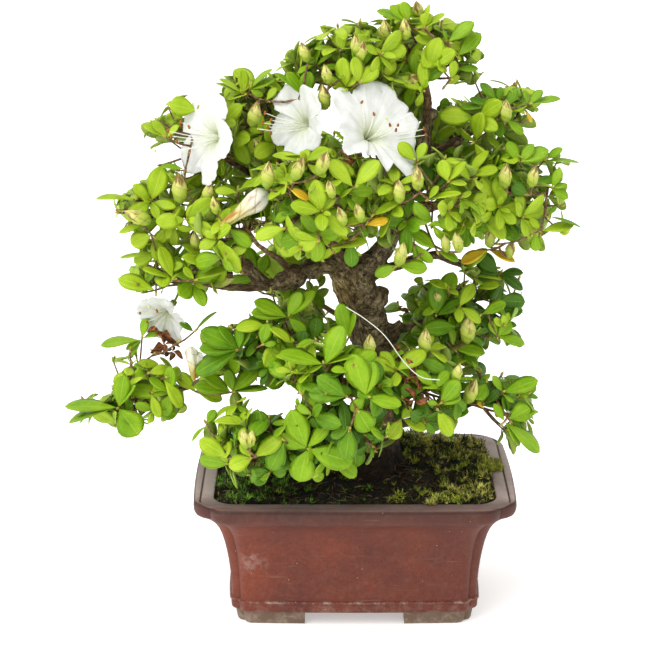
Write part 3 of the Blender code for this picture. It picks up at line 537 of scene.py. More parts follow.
def moss_look(x, y):
    """Which of the moss finishes grows here: deep green at the left, bleached at the right."""
    tone = (x + 18.0) / 85.0 + 0.25 * (y / 60.0) + 0.8 * bumps(x, y, 3.0, 12.0)
    tone += moss_dice.uniform(-0.4, 0.4)
    # Painted shade, with older moss: tufts that sit low in the cushions more often take the near-black olive
    if moss_dice.random() < 0.5 - 0.9 * bumps(x, y, 1.0, MOSS_CUSHION):
        return 1
    return 0 if tone < -0.3 else 1 if tone < 0.2 else 2 if tone < 0.9 else 3


def tuft(foot, heading, size, look):
    """One sprig of moss: pointed, bent leaves of six faces each, spreading from its foot."""
    points, faces, looks = moss_lists[:3]
    across = heading.orthogonal().normalized()
    first = moss_dice.uniform(0.0, math.tau)
    for k in range(MOSS_LEAVES):
        out = Quaternion(heading, first + math.tau * k / MOSS_LEAVES) @ across
        tilt = math.radians(moss_dice.uniform(12.0, 78.0))
        way = heading * math.cos(tilt) + out * math.sin(tilt)
        side = way.cross(out if tilt > 0.4 else across).normalized()
        length = size * moss_dice.uniform(*MOSS_LEAF_LENGTH)
        half = MOSS_LEAF_WIDTH * size / 2
        bend = foot + way * (length * 0.5)
        tip = bend + (way + heading * 0.35).normalized() * (length * 0.5)
        start = len(points)
        keel = bend - side.cross(way) * MOSS_THICK
        points += [foot, bend + side * half, bend - side * half, keel, tip]
        for a, b in MOSS_SIDES:
            faces += [(start, start + a, start + b), (start + 4, start + b, start + a)]
        looks += [look] * 6


moss_lists = new_lists()
inner = pot_ring(0.0, 15.6, 12.0, 1.0)
INNER_X, INNER_Y = inner[0].x, max(p.y for p in inner)


def in_pot(x, y):
    """Whether a point lies inside the pot's rounded inner edge."""
    over_x = max(0.0, abs(x) - (INNER_X - RIM_CORNER))
    over_y = max(0.0, abs(y) - (INNER_Y - RIM_CORNER))
    return math.hypot(over_x, over_y) < RIM_CORNER


while len(moss_lists.looks) < MOSS_TUFTS * MOSS_LEAVES * 6:
    x, y = moss_dice.uniform(-INNER_X, INNER_X), moss_dice.uniform(-INNER_Y, INNER_Y)
    if not in_pot(x, y) or moss_dice.random() > moss_cover(x, y):
        continue
    thick = max(0.0, min(1.0, moss_cover(x, y)))
    lift = thick * (2.4 + 7.0 * bumps(x, y, 1.0, MOSS_CUSHION))
    lean = Vector((bumps(x, y, 5.0, 6.0), bumps(y, x, 9.0, 6.0), 1.0)).normalized()
    foot = Vector((x, y, soil_height(x, y) + lift - 0.8))
    tuft(foot, lean, 0.6 + 0.7 * thick * moss_dice.random(), moss_look(x, y))

# The tuft that hangs over the rim at the right, and a sprig on the front rim
for number in range(RIM_TUFTS):
    off = RIM_TUFT_REACH.x * moss_dice.random() ** 1.2
    aside = RIM_TUFT_REACH.y * moss_dice.uniform(-1.0, 1.0) * (1.0 - 0.6 * off / RIM_TUFT_REACH.x)
    lift = max(0.0, RIM_TUFT_REACH.z - 0.2 * off) * moss_dice.random()
    tuft(RIM_FROM + Vector((off, aside, lift)), Vector((0.35, -0.15, 1.0)).normalized(), 1.0,
         moss_dice.choice((2, 3, 3)))
for number in range(FRONT_SPRIGS):
    foot = FRONT_SPRIG + Vector((moss_dice.uniform(-3.5, 3.5), moss_dice.uniform(-2.5, 2.0), 0.0))
    tuft(foot, Vector((0.0, -0.3, 1.0)).normalized(), 0.9, 3)

# Living moss: matt; the near-black olive tufts low down among the green are partly older brown leaves and
# partly painted shade
moss_finishes = [cloudy_finish(name, 0.7, 3, ((0.36, dark), (0.64, light))) for name, dark, light in (
    ("moss_deep_green", "#101803", "#86c022"), ("moss_olive", "#0a0903", "#424416"),
    ("moss_bright", "#2c3608", "#c2d23c"), ("moss_bleached", "#4c4a0c", "#e6e270"))]
moss = piece_from("moss_cushions", moss_lists, moss_finishes, smooth=False)
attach(moss, "root")


def tube(lists, path, radii, sides, look):
    """Add a closed tube round a path, with a ring at each of its points."""
    points, faces, looks = lists[:3]
    last = len(path) - 1
    ways = [(path[min(k + 1, last)] - path[max(k - 1, 0)]).normalized() for k in range(last + 1)]
    across = ways[0].orthogonal().normalized()
    start = len(points)
    for spot, way, radius in zip(path, ways, radii):
        across = (across - way * across.dot(way)).normalized()
        beside = way.cross(across)
        for k in range(sides):
            turn = math.tau * k / sides
            points.append(spot + across * (radius * math.cos(turn)) + beside * (radius * math.sin(turn)))
    for row in range(last):
        low = start + row * sides
        for k in range(sides):
            after = (k + 1) % sides
            faces.append((low + k, low + after, low + sides + after, low + sides + k))
            looks.append(look)
    faces.append(tuple(range(start + sides - 1, start - 1, -1)))
    faces.append(tuple(range(start + last * sides, start + last * sides + sides)))
    looks += [look, look]


LITTER = 900
LITTER_LENGTH = (3.0, 13.0)
LITTER_RADII = (0.2, 0.25, 0.3, 0.55)
litter_lists = new_lists()
litter_dice = random.Random(58)
while len(litter_lists.faces) < LITTER * 8:
    x, y = litter_dice.uniform(-INNER_X, INNER_X), litter_dice.uniform(-INNER_Y, INNER_Y)
    if not in_pot(x, y) or litter_dice.random() < moss_cover(x, y) - 0.25:
        continue
    turn = litter_dice.uniform(0.0, math.tau)
    length = litter_dice.uniform(*LITTER_LENGTH)
    way = Vector((math.cos(turn), math.sin(turn), litter_dice.uniform(-0.1, 0.25)))
    foot = Vector((x, y, soil_height(x, y) + litter_dice.uniform(0.2, 2.0)))
    path = [foot, foot + way * (length * 0.5) + Vector((0, 0, 0.6)), foot + way * length]
    if not in_pot(path[-1].x, path[-1].y):
        continue
    thick = litter_dice.choice(LITTER_RADII)
    tube(litter_lists, path, (thick, thick, thick * 0.5), 3, litter_dice.choice((0, 0, 1, 2)))
# Dead plant fibre: matt, in the browns of what it fell from, bleached where it dried
litter_finishes = [cloudy_finish(name, 0.8, 2, ((0.35, dark), (0.65, light))) for name, dark, light in (
    ("dry_needle", "#35220f", "#65431e"), ("dark_bark_bit", "#17100a", "#382818"),
    ("pale_straw", "#66552e", "#9a8650"))]
litter = piece_from("needles_and_bark_bits", litter_lists, litter_finishes)
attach(litter, "root")


# The trunk and boughs. One old, leaning stem with a flared foot, forks and boughs that grew together
# where they meet, swollen knees, knobs and pruned stubs. Its bark is thin, fissured along the limb,
# mottled grey over brown, and damp and nearly black where it enters the soil.
UP = Vector((0.0, 0.0, 1.0))
Limb = namedtuple("Limb", "name route thick thin")
TRUNK_ROUTE = ((13, -8, 98), (13, -8, 106), (13.6, -8, 113), (15.5, -8, 128), (19, -5, 162), (12.5, -4, 194),
               (4.5, -3, 221), (-2, -2, 238), (-4, -1, 247), (-4.6, -1, 252))
TRUNK_HEIGHTS = (98, 102, 106, 113, 128, 162, 194, 221, 238, 247, 252)
TRUNK_RADII = (26.5, 24.5, 21.5, 18.3, 16.0, 14.8, 14.2, 14.4, 14.6, 11.5, 5.5)
FLARE_TOP = 128.0
FLARE_LOBES = ((3, 0.16, 1.1), (5, 0.09, 2.3), (8, 0.04, 0.4))
BOUGHS = [Limb(*row) for row in (
    ("leader", ((-2, 0, 240), (20, 4, 258), (31, 8, 285), (47, 11, 325), (50, 12, 352)), 8.2, 3.6),
    ("left_bough", ((2, -3, 238), (-24, -5, 250), (-45, -9, 241), (-66, -11, 235), (-93, -12, 235)),
     6.8, 2.2),
    ("upper_left_bough", ((-4, 0, 242), (-20, 5, 262), (-34, 3, 290), (-52, 0, 324)), 5.4, 2.4),
    ("front_bough", ((-1, -2, 240), (-10, -18, 258), (-22, -34, 280)), 4.6, 2.5),
    ("dead_bough", ((0, -2, 236), (28, 2, 246), (52, 4, 254), (70, 6, 249), (82, 6, 245)), 4.0, 2.5),
    ("back_bough", ((2, -2, 228), (-6, 26, 244), (-12, 50, 260)), 4.8, 2.5),
    ("right_bough", ((29, 7, 280), (50, 1, 288), (70, -7, 292)), 4.2, 2.4),
    ("front_right_bough", ((22, 4, 262), (30, -20, 277), (40, -40, 292)), 3.6, 2.2),
    ("upper_centre_bough", ((33, 8, 290), (18, 0, 322), (4, -10, 352)), 3.6, 2.2),
    ("upper_right_bough", ((44, 11, 318), (66, 12, 332), (84, 11, 341)), 3.2, 2.0),
    ("back_right_bough", ((32, 9, 288), (48, 30, 297), (58, 42, 305)), 3.4, 2.1),
    ("back_upper_bough", ((46, 11, 322), (34, 28, 334), (26, 40, 344)), 3.0, 2.0),
    ("left_riser", ((-62, -10, 235), (-84, -10, 257), (-110, -10, 281)), 4.4, 2.4),
    ("left_inner_bough", ((-42, -8, 242), (-50, -18, 254), (-58, -26, 262)), 2.9, 1.9),
    ("left_upper_bough", ((-36, 3, 292), (-62, -2, 308), (-86, -5, 322)), 3.2, 2.0),
    ("back_left_bough", ((-33, 3, 288), (-46, 22, 298), (-58, 38, 306)), 3.2, 2.0),
    ("right_low_bough", ((12, -4, 192), (30, 0, 201), (50, 2, 206)), 4.4, 2.3),
    ("back_low_bough", ((14, -4, 184), (4, 22, 194), (-12, 42, 200)), 4.0, 2.2),
    ("low_left_bough", ((17, -5, 158), (-8, -14, 166), (-40, -20, 173), (-84, -20, 178), (-118, -26, 166)),
     4.4, 2.1),
    ("low_left_riser", ((-12, -15, 167), (-26, -24, 178), (-38, -27, 186)), 3.0, 2.0),
    ("back_low_right_bough", ((18, -5, 146), (36, 20, 155), (46, 36, 162)), 3.8, 2.1),
    ("front_low_right_bough", ((18, -6, 148), (30, -22, 156), (38, -32, 161)), 3.2, 2.1),
    ("low_front_bough", ((16, -8, 134), (4, -30, 144), (-4, -46, 152)), 3.6, 2.1),
    ("low_right_bough", ((16, -8, 126), (42, -13, 138), (62, -16, 145)), 3.8, 2.1),
    ("low_front_left_bough", ((13, -8, 114), (-10, -32, 122), (-26, -50, 130)), 3.4, 2.0),
)]
# Pruned stubs: route, then radius, each with a flat sawn end
STUBS = (
    (((-86, -11, 242), (-99, -17, 247), (-108, -22, 253.5)), 4.1),
    (((10, -6, 222), (17, -9, 227), (19.5, -11, 233)), 5.2),
    (((14, -4, 196), (26, -3, 200), (34, -3, 205)), 4.6),
)
# Swollen knees and healed scars: centre, then radius
KNOBS = (
    ((-42, -9, 242), 8.6), ((-50, -8, 238), 7.0), ((-30, -7, 247), 7.6), ((-76, -10, 249), 6.0),
    ((-86, -12, 257), 6.4), ((-92, -9, 264), 5.6), ((-98, -12, 270), 6.3), ((-105, -10, 277), 5.4),
    ((-110, -11, 282), 4.2), ((12, -13, 214), 9.5), ((17, -10, 226), 6.6), ((24, -2, 198), 8.0),
    ((22, -9, 176), 9.0), ((8, -14, 150), 9.0), ((27, -4, 152), 8.0), ((-8, -6, 244), 10.0),
    ((8, -2, 246), 10.5), ((31, 8, 286), 7.0), ((46, 11, 322), 5.6), ((-20, -17, 170), 5.4),
    ((-66, -20, 176), 4.4), ((48, 9, 334), 5.0), ((50, 13, 343), 4.6), ((53, 12, 352), 4.4),
    ((40, 9, 306), 5.8), ((70, 10, 333), 3.9), ((-52, -19, 175), 4.2), ((-90, -20, 177), 4.2),
    ((-104, -23, 172), 3.9), ((-36, 3, 292), 4.6),
)
TRUNK_SIDES = 48
BOUGH_SIDES = 16
# How much wider a bough is where it leaves its limb, and over how many rings that fades
COLLAR_GAIN = 0.36
COLLAR_RINGS = 4
BARK_VOXEL = 0.85
GRAIN_STRETCH = 3.2
GRAIN_PARTS = 4
# Where a painted highlight lightens the bark, below the fork at the left
BARK_HIGHLIGHT_PLACE = (-15.0, -12.0, 230.0)


def smooth_route(corners, steps):
    """Points on a smooth curve through a route's corners, with steps points for each stretch."""
    ends = [Vector(c) for c in corners]
    ends = [ends[0] * 2 - ends[1]] + ends + [ends[-1] * 2 - ends[-2]]
    path = []
    for a, b, c, d in zip(ends, ends[1:], ends[2:], ends[3:]):
        for step in range(steps):
            t = step / steps
            path.append(b + (c - a) * (t / 2) + (a * 2 - b * 5 + c * 4 - d) * (t * t / 2)
                        + (b * 3 - a - c * 3 + d) * (t ** 3 / 2))
    path.append(ends[-2])
    return path


def crooked(path, amount):
    """The same path with small natural kinks between its two ends."""
    last = len(path) - 1
    bent = []
    for k, spot in enumerate(path):
        free = math.sin(math.pi * k / last)
        kink = Vector([bumps(spot.x + 31 * axis, spot.y, spot.z, 14.0, 2) for axis in range(3)])
        bent.append(spot + kink * (amount * free))
    return bent


def taper(path, thick, thin):
    """Radii that fall evenly from thick to thin along a path."""
    last = len(path) - 1
    return [thick + (thin - thick) * k / last for k in range(last + 1)]


def flare(turn, height):
    """How far the root flare's buttresses stand out, fading out up the trunk."""
    share = max(0.0, (FLARE_TOP - height) / (FLARE_TOP - GROUND))
    return 1.0 + share * sum(size * math.cos(count * turn + shift) for count, size, shift in FLARE_LOBES)


trunk_path = smooth_route(TRUNK_ROUTE, 8)
trunk_radii = [float(np.interp(spot.z, TRUNK_HEIGHTS, TRUNK_RADII)) for spot in trunk_path]
limb_paths = {"trunk": (trunk_path, trunk_radii)}
bark_lists = new_lists()
tube(bark_lists, trunk_path, trunk_radii, TRUNK_SIDES, 0)
for k, spot in enumerate(bark_lists.points):
    middle = trunk_path[k // TRUNK_SIDES]
    turn = math.tau * (k % TRUNK_SIDES) / TRUNK_SIDES
    bark_lists.points[k] = middle + (spot - middle) * flare(turn, middle.z)
for bough in BOUGHS:
    path = crooked(smooth_route(bough.route, 7), 1.5)
    radii = taper(path, bough.thick, bough.thin)
    for k in range(COLLAR_RINGS):
        radii[k] *= 1.0 + COLLAR_GAIN * (COLLAR_RINGS - k) / COLLAR_RINGS
    limb_paths[bough.name] = (path, radii)
    tube(bark_lists, path, radii, BOUGH_SIDES, 0)
for number, (route, radius) in enumerate(STUBS):
    path = smooth_route(route, 4)
    limb_paths[f"stub_{number}"] = (path, [radius] * len(path))
    tube(bark_lists, path, [radius] * len(path), BOUGH_SIDES, 0)
bark = piece_from("bark", bark_lists, [])
knob_pieces = []
for centre, radius in KNOBS:
    bpy.ops.mesh.primitive_ico_sphere_add(subdivisions=3, radius=radius * MM, location=placed(*centre))
    knob_pieces.append(bpy.context.object)
select_only(bark)
for knob in knob_pieces:
    knob.select_set(True)
bpy.ops.object.join()
fused = bark.modifiers.new("grown_together", "REMESH")
fused.mode = "VOXEL"
fused.voxel_size = BARK_VOXEL * MM
evened = bark.modifiers.new("evened", "SMOOTH")
evened.factor = 0.5
evened.iterations = 5
apply_all(bark)

# The bark's relief: each point is found along and round the limb it lies on, and moved in and out
# by ridges that run with that limb. What is left of the ridges' height also darkens the cracks,
# as dark inner bark and as painted shade in the hollows.
limb_tree = kdtree.KDTree(sum(len(path) for path, radii in limb_paths.values()) * GRAIN_PARTS)
limb_spots = []
for number, (path, radii) in enumerate(limb_paths.values()):
    across = (path[1] - path[0]).orthogonal().normalized()
    run = 90.0 * number
    for k in range(len(path) - 1):
        stretch = path[k + 1] - path[k]
        way = stretch.normalized()
        across = (across - way * across.dot(way)).normalized()
        for part in range(GRAIN_PARTS):
            share = part / GRAIN_PARTS
            spot = path[k].lerp(path[k + 1], share)
            radius = radii[k] + (radii[k + 1] - radii[k]) * share
            limb_tree.insert(spot, len(limb_spots))
            limb_spots.append((spot, way, across, radius, run + stretch.length * share))
        run += stretch.length
limb_tree.balance()
grain_at, crack_at, girth_at = [], [], []
bark_normals = [corner.normal.copy() for corner in bark.data.vertices]
for corner, outward in zip(bark.data.vertices, bark_normals):
    here = (corner.co - POT_MIDDLE) / MM
    spot, way, across, radius, run = limb_spots[limb_tree.find(here)[1]]
    off = here - spot
    grain = Vector((off.dot(across), off.dot(way.cross(across)), (run + off.dot(way)) / GRAIN_STRETCH))
    size = min(1.0, radius / 13.0)
    ridges = 1.0 - 2.0 * abs(bumps(*grain, 4.6, 4))
    lumps = bumps(*here, 11.0, 3)
    crack = bumps(*(grain * 1.7), 2.0, 3)
    rise = 0.20 * size * (ridges - 0.4) * 3.4 + size * 1.1 * lumps + (0.10 + 0.42 * size) * crack
    corner.co += outward * (rise * MM)
    grain_at += list(grain * MM)
    crack_at.append(0.5 + 0.5 * (0.45 * (ridges - 0.4) + 0.75 * crack))
    girth_at.append(radius)
for name, kind, field, values in (("grain", "FLOAT_VECTOR", "vector", grain_at),
                                  ("crack", "FLOAT", "value", crack_at),
                                  ("girth", "FLOAT", "value", girth_at)):
    layer = bark.data.attributes.new(name, kind, "POINT")
    layer.data.foreach_set(field, values)
select_only(bark)
bpy.ops.object.shade_smooth()

# Azalea bark: grey-buff flakes over brown, cracks nearly black in part as painted shade, young wood browner,
# lichen in spots
old_bark, bark_shader, bark_place = new_finish("old_bark", 0.82, Specular_IOR_Level=0.25)
grain_node = node(old_bark, "Attribute", attribute_name="grain")
flakes = node(old_bark, "TexNoise", (grain_node.outputs["Vector"], per_mm(2.6), 8.0, 0.8))
flake_tone = node(old_bark, "ValToRGB", (flakes,),
                  stops=((0.34, "#1b140a"), (0.65, "#cbbd97"), (0.45, "#594a32"), (0.54, "#958463")))
broad = node(old_bark, "TexNoise", (bark_place, per_mm(17), 3.0))
broad_tone = node(old_bark, "ValToRGB", (broad,), stops=((0.35, "#83744f"), (0.65, "#ffffff")))
mottled = node(old_bark, "Mix", (0.8, flake_tone, broad_tone), data_type="RGBA", blend_type="MULTIPLY")
girth = node(old_bark, "Attribute", attribute_name="girth")
youth = node(old_bark, "MapRange", (girth.outputs["Fac"], 1.8, 4.2, 0.5, 0.0))
browned = node(old_bark, "Mix", (youth, mottled, linear("#6b4a36")), data_type="RGBA")
# Painted highlight: below the fork, at the left, the bark is lightened where the light falls on it
highlight_off = node(old_bark, "VectorMath", (bark_place, placed(*BARK_HIGHLIGHT_PLACE)), operation="DISTANCE")
painted_highlight_share = node(old_bark, "MapRange", (highlight_off.outputs["Value"], 0.006, 0.026, 1.0, 0.0))
highlighted_bark = node(old_bark, "Mix", (painted_highlight_share, browned, linear("#c6c0ac")), data_type="RGBA", blend_type="DODGE")
# Painted shade, with dark inner bark: the cracks are darkened nearly to black
crack_node = node(old_bark, "Attribute", attribute_name="crack")
crack_shade_share = node(old_bark, "MapRange", (crack_node.outputs["Fac"], 0.22, 0.55, 0.85, 0.0))
cracked_and_shaded = node(old_bark, "Mix", (crack_shade_share, highlighted_bark, linear("#150f0a")), data_type="RGBA")
lichen = node(old_bark, "TexNoise", (bark_place, per_mm(8), 5.0, 0.6))
lichen_share = node(old_bark, "MapRange", (lichen, 0.64, 0.72, 0.0, 0.55))
lichened = node(old_bark, "Mix", (lichen_share, cracked_and_shaded, linear("#a4a791")), data_type="RGBA")
# Damp has risen into the foot of the trunk
bark_height = node(old_bark, "SeparateXYZ", (bark_place,))
damp_edge = node(old_bark, "Math", (broad, 0.03), operation="MULTIPLY")
damp_level = node(old_bark, "Math", (bark_height.outputs[2], damp_edge), operation="SUBTRACT")
damp_share = node(old_bark, "MapRange", (damp_level, 0.100, 0.128, 0.97, 0.0))
damp = node(old_bark, "Mix", (damp_share, lichened, linear("#4e3a2a")),
            data_type="RGBA", blend_type="MULTIPLY")
colour_into(old_bark, bark_shader, damp)
hair_cracks = node(old_bark, "TexNoise", (grain_node.outputs["Vector"], per_mm(1.1), 5.0, 0.7))
relief_into(old_bark, bark_shader, hair_cracks, 0.5)
bark.data.materials.clear()
bark.data.materials.append(old_bark)
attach(bark, "root")
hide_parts("trunk", *[bough.name for bough in BOUGHS])


# The twigs. Each bough carries one spray of young wood: its own stem, shoots that part from it in an
# even spread, and side shoots on those, each ending in a whorl. The wood is thin, smooth and
# brown, with a small downy bud of next year's growth in the middle of every whorl.
Mass = namedtuple("Mass", "name bough centre reach")
MASSES = [Mass(*row) for row in (
    ("apex_mass", "leader", (44, 8, 394), (42, 36, 38)),
    ("upper_right_mass", "upper_right_bough", (107, 10, 352), (36, 32, 32)),
    ("right_mass", "right_bough", (106, -10, 296), (50, 42, 40)),
    ("front_right_mass", "front_right_bough", (48, -62, 306), (34, 30, 36)),
    ("front_centre_mass", "front_bough", (-26, -64, 308), (48, 36, 40)),
    ("upper_centre_mass", "upper_centre_bough", (-8, -16, 382), (40, 36, 36)),
    ("upper_left_mass", "upper_left_bough", (-66, 2, 352), (38, 36, 34)),
    ("left_top_mass", "left_upper_bough", (-114, -4, 336), (38, 36, 34)),
    ("left_far_mass", "left_riser", (-142, -10, 292), (40, 36, 31)),
    ("left_inner_mass", "left_inner_bough", (-76, -36, 280), (36, 30, 32)),
    ("left_mid_mass", "left_bough", (-127, -12, 243), (42, 34, 30)),
    ("right_low_mass", "right_low_bough", (82, 0, 213), (44, 38, 36)),
    ("low_left_mass", "low_left_riser", (-62, -30, 200), (42, 36, 34)),
    ("low_left_far_mass", "low_left_bough", (-160, -30, 160), (44, 34, 30)),
    ("low_front_mass", "low_front_bough", (-14, -76, 170), (40, 34, 48)),
    ("low_front_left_mass", "low_front_left_bough", (-56, -74, 141), (48, 34, 32)),
    ("front_low_right_mass", "front_low_right_bough", (46, -54, 170), (32, 30, 34)),
    ("low_right_mass", "low_right_bough", (92, -20, 150), (42, 34, 33)),
    ("back_mass", "back_bough", (-14, 86, 284), (48, 40, 42)),
    ("back_right_mass", "back_right_bough", (76, 66, 314), (42, 38, 36)),
    ("back_left_mass", "back_left_bough", (-78, 64, 318), (42, 38, 36)),
    ("back_upper_mass", "back_upper_bough", (16, 58, 364), (40, 34, 32)),
    ("back_low_mass", "back_low_bough", (-46, 68, 206), (46, 38, 36)),
    ("back_low_right_mass", "back_low_right_bough", (62, 62, 176), (44, 38, 38)),
)]
Bloom = namedtuple("Bloom", "name centre facing radius")
BLOOMS = (
    Bloom("front_blossom", (12, -60, 354), (0.40, -0.73, 0.54), 30.0),
    Bloom("centre_blossom", (-40, -40, 356), (-0.72, -0.62, 0.22), 27.0),
    Bloom("left_blossom", (-101, -34, 345), (-0.80, -0.58, 0.12), 31.0),
    Bloom("low_blossom", (-134, -22, 214), (-0.40, -0.80, -0.45), 20.0),
)
EVEN_STEPS = (0.7549, 0.5698)
TWIG_SHARE = 400.0
TWIG_REACHES = (0.74, 0.54, 0.88, 0.36)
ARRIVING_LIMIT = 0.86
UPWARD = 0.35
ROOM_LIMIT = 1.10
LEAF_FLOOR = 110.0
LIMB_GAP = 2.0
TIP_SPACING = 11.5
SIDE_SHOOTS = ((0.34, 0.46), (0.60, 0.40), (0.84, 0.34))
SIDE_SHOOT_LENGTH = (13.0, 25.0)
SIDE_SHOOT_ANGLE = (38.0, 64.0)
GOLDEN_TURN = math.radians(137.5)
OUTLINE_REACH = 13.0
mass_centres = np.array([mass.centre for mass in MASSES])
mass_reaches = np.array([mass.reach for mass in MASSES])
Spray = namedtuple("Spray", "tip heading outer")
# Where foliage shows in the photograph, as ellipses: the middle across and down, and the half sizes
SEEN_CLUMPS = np.array((
    (405, 28, 28, 29), (455, 46, 28, 28), (446, 72, 33, 15), (300, 68, 23, 34), (345, 55, 42, 34),
    (385, 78, 48, 26), (415, 120, 40, 36), (250, 100, 32, 31), (246, 150, 38, 32), (180, 109, 18, 12),
    (168, 133, 24, 14), (172, 168, 14, 7), (172, 205, 50, 26), (130, 202, 22, 10), (145, 226, 20, 10),
    (160, 246, 26, 17), (158, 277, 31, 19), (195, 250, 48, 48), (235, 205, 58, 52), (262, 250, 52, 36),
    (310, 185, 62, 62), (345, 215, 62, 48), (325, 262, 16, 17), (420, 190, 62, 60), (490, 190, 66, 56),
    (540, 185, 28, 46), (556, 228, 26, 10), (535, 240, 12, 13), (505, 108, 32, 26), (545, 98, 18, 9),
    (465, 114, 22, 16), (400, 264, 34, 20), (430, 302, 47, 38), (492, 270, 34, 24), (508, 297, 20, 22),
    (450, 325, 62, 32), (505, 335, 22, 14), (440, 372, 46, 28), (505, 394, 34, 20), (522, 418, 18, 16),
    (518, 437, 24, 15), (442, 402, 27, 36), (405, 415, 32, 25), (345, 370, 62, 52), (325, 440, 62, 46),
    (250, 445, 52, 39), (245, 370, 52, 46), (295, 325, 46, 42), (205, 385, 36, 26), (215, 412, 24, 30),
    (170, 394, 46, 28), (150, 345, 50, 26), (130, 400, 22, 34), (90, 408, 26, 14),
))
# Where the white behind shows between the leaves, in the same way
SEEN_SKY = np.array((
    (273, 401, 21, 12), (386, 288, 9, 18), (394, 324, 7, 11), (245, 304, 34, 11), (300, 278, 8, 8),
    (152, 312, 34, 14), (210, 257, 6, 7), (258, 243, 12, 6), (334, 284, 7, 10), (440, 92, 13, 9),
    (386, 414, 12, 6), (437, 275, 14, 5), (497, 358, 14, 12), (408, 306, 8, 5), (483, 305, 6, 14),
    (150, 228, 9, 6), (143, 258, 10, 4), (463, 372, 8, 6), (432, 395, 6, 8), (285, 395, 10, 8),
    (456, 277, 12, 6), (540, 148, 6, 6), (330, 303, 8, 6), (174, 290, 12, 4), (488, 124, 8, 5),
))
RAGGED = 0.7
# What no leaf may hide, with the Y it lies at: four open blossoms and a withered one
SEEN_OPEN = np.array((
    (372, 121, 41, 35, -60), (296, 118, 30, 29, -40), (207, 135, 24, 45, -34), (163, 318, 23, 19, -22),
    (243, 207, 26, 16, -50),
))


def even_direction(number, spin):
    """The directions of shoots: an even cover of the sphere, however many of them are used."""
    lift = 1.0 - 2.0 * ((0.5 + number * EVEN_STEPS[0]) % 1.0)
    turn = spin + math.tau * ((number * EVEN_STEPS[1]) % 1.0)
    flat = math.sqrt(1.0 - lift * lift)
    return Vector((flat * math.cos(turn), flat * math.sin(turn), lift))


def mass_stem(mass):
    """A spray's own stem, which goes on from the tip of its bough and bends towards its middle."""
    path, radii = limb_paths[mass.bough]
    heading = (path[-1] - path[-3]).normalized()
    root = path[-1] - heading * 2.0
    centre = Vector(mass.centre)
    bend = root + heading * ((centre - root).length * 0.4)
    end = centre + UP * (mass.reach[2] * 0.15)
    return crooked(smooth_route([root, bend.lerp(root.lerp(end, 0.5), 0.5), end], 6), 2.0), radii[-1]


def point_on(path, share):
    """The point at a share of a path's corners."""
    place = share * (len(path) - 1)
    k = min(int(place), len(path) - 2)
    return path[k].lerp(path[k + 1], place - k)


def room(spot, number):
    """How far out of a mass's middle a point lies, as a share of the mass's reach."""
    return float(np.sqrt((((np.array(spot) - mass_centres[number]) / mass_reaches[number]) ** 2).sum()))


def nearest_room(spot):
    """The smallest share of reach from any mass."""
    return float(np.sqrt((((np.array(spot) - mass_centres) / mass_reaches) ** 2).sum(1)).min())


def limb_gap(spot):
    """The distance from a point to the bark of the nearest limb."""
    near, index, far = limb_tree.find(spot)
    return far - limb_spots[index][3]


def before_bloom(spot, back=7.0, front=22.0):
    """Whether a point lies in the space that is kept free round an open blossom."""
    for bloom in BLOOMS:
        facing = Vector(bloom.facing).normalized()
        away = Vector(spot) - Vector(bloom.centre)
        ahead = away.dot(facing)
        if -back < ahead < front and (away - facing * ahead).length < bloom.radius + 1.0:
            return True
    return False


def within(across, down, rings, edge=1.0):
    """Whether a pixel lies in any of some ellipses."""
    places = ((across - rings[:, 0]) / rings[:, 2]) ** 2 + ((down - rings[:, 1]) / rings[:, 3]) ** 2
    return bool((places < edge).any())


def in_outline(spot, spare=0.0):
    """Whether a point shows where the photograph has leaves, and hides no blossom."""
    across, down = seen(spot)
    ragged = 1.0 + RAGGED * bumps(across, down, 0.0, 12.0)
    if not within(across, down, SEEN_CLUMPS, ragged + spare) or within(across, down, SEEN_SKY, ragged):
        return False
    hidden = SEEN_OPEN[SEEN_OPEN[:, 4] > spot[1]]
    return not within(across, down, hidden)


def can_bear(spot):
    """Whether leaves have a place in the outline on at least three of six sides of a shoot's tip."""
    turns = [math.tau * k / 6 for k in range(6)]
    sides = [spot + Vector((math.cos(turn), 0.0, math.sin(turn))) * OUTLINE_REACH for turn in turns]
    return sum(in_outline(side) for side in sides) >= 3


def free(spot, number):
    """Whether a shoot's tip may grow here."""
    return (room(spot, number) < ROOM_LIMIT and spot[2] > LEAF_FLOOR and limb_gap(spot) > LIMB_GAP
            and not before_bloom(spot) and in_outline(spot) and can_bear(spot))


def front_depth(across, down):
    """The Y at which the foliage in front begins, or comes nearest, at a pixel."""
    depths = list(range(-112, 100, 3))
    rooms = [nearest_room(seen_at(across, down, depth)) for depth in depths]
    inside = [depth for depth, share in zip(depths, rooms) if share < KEY_ROOM]
    return inside[0] if inside else depths[rooms.index(min(rooms))]


def bowed(start, end, lift):
    """A gently bowed shoot of four corners between two points."""
    rise = UP * (lift * (end - start).length)
    return smooth_route([start, start.lerp(end, 0.5) + rise, end], 2)


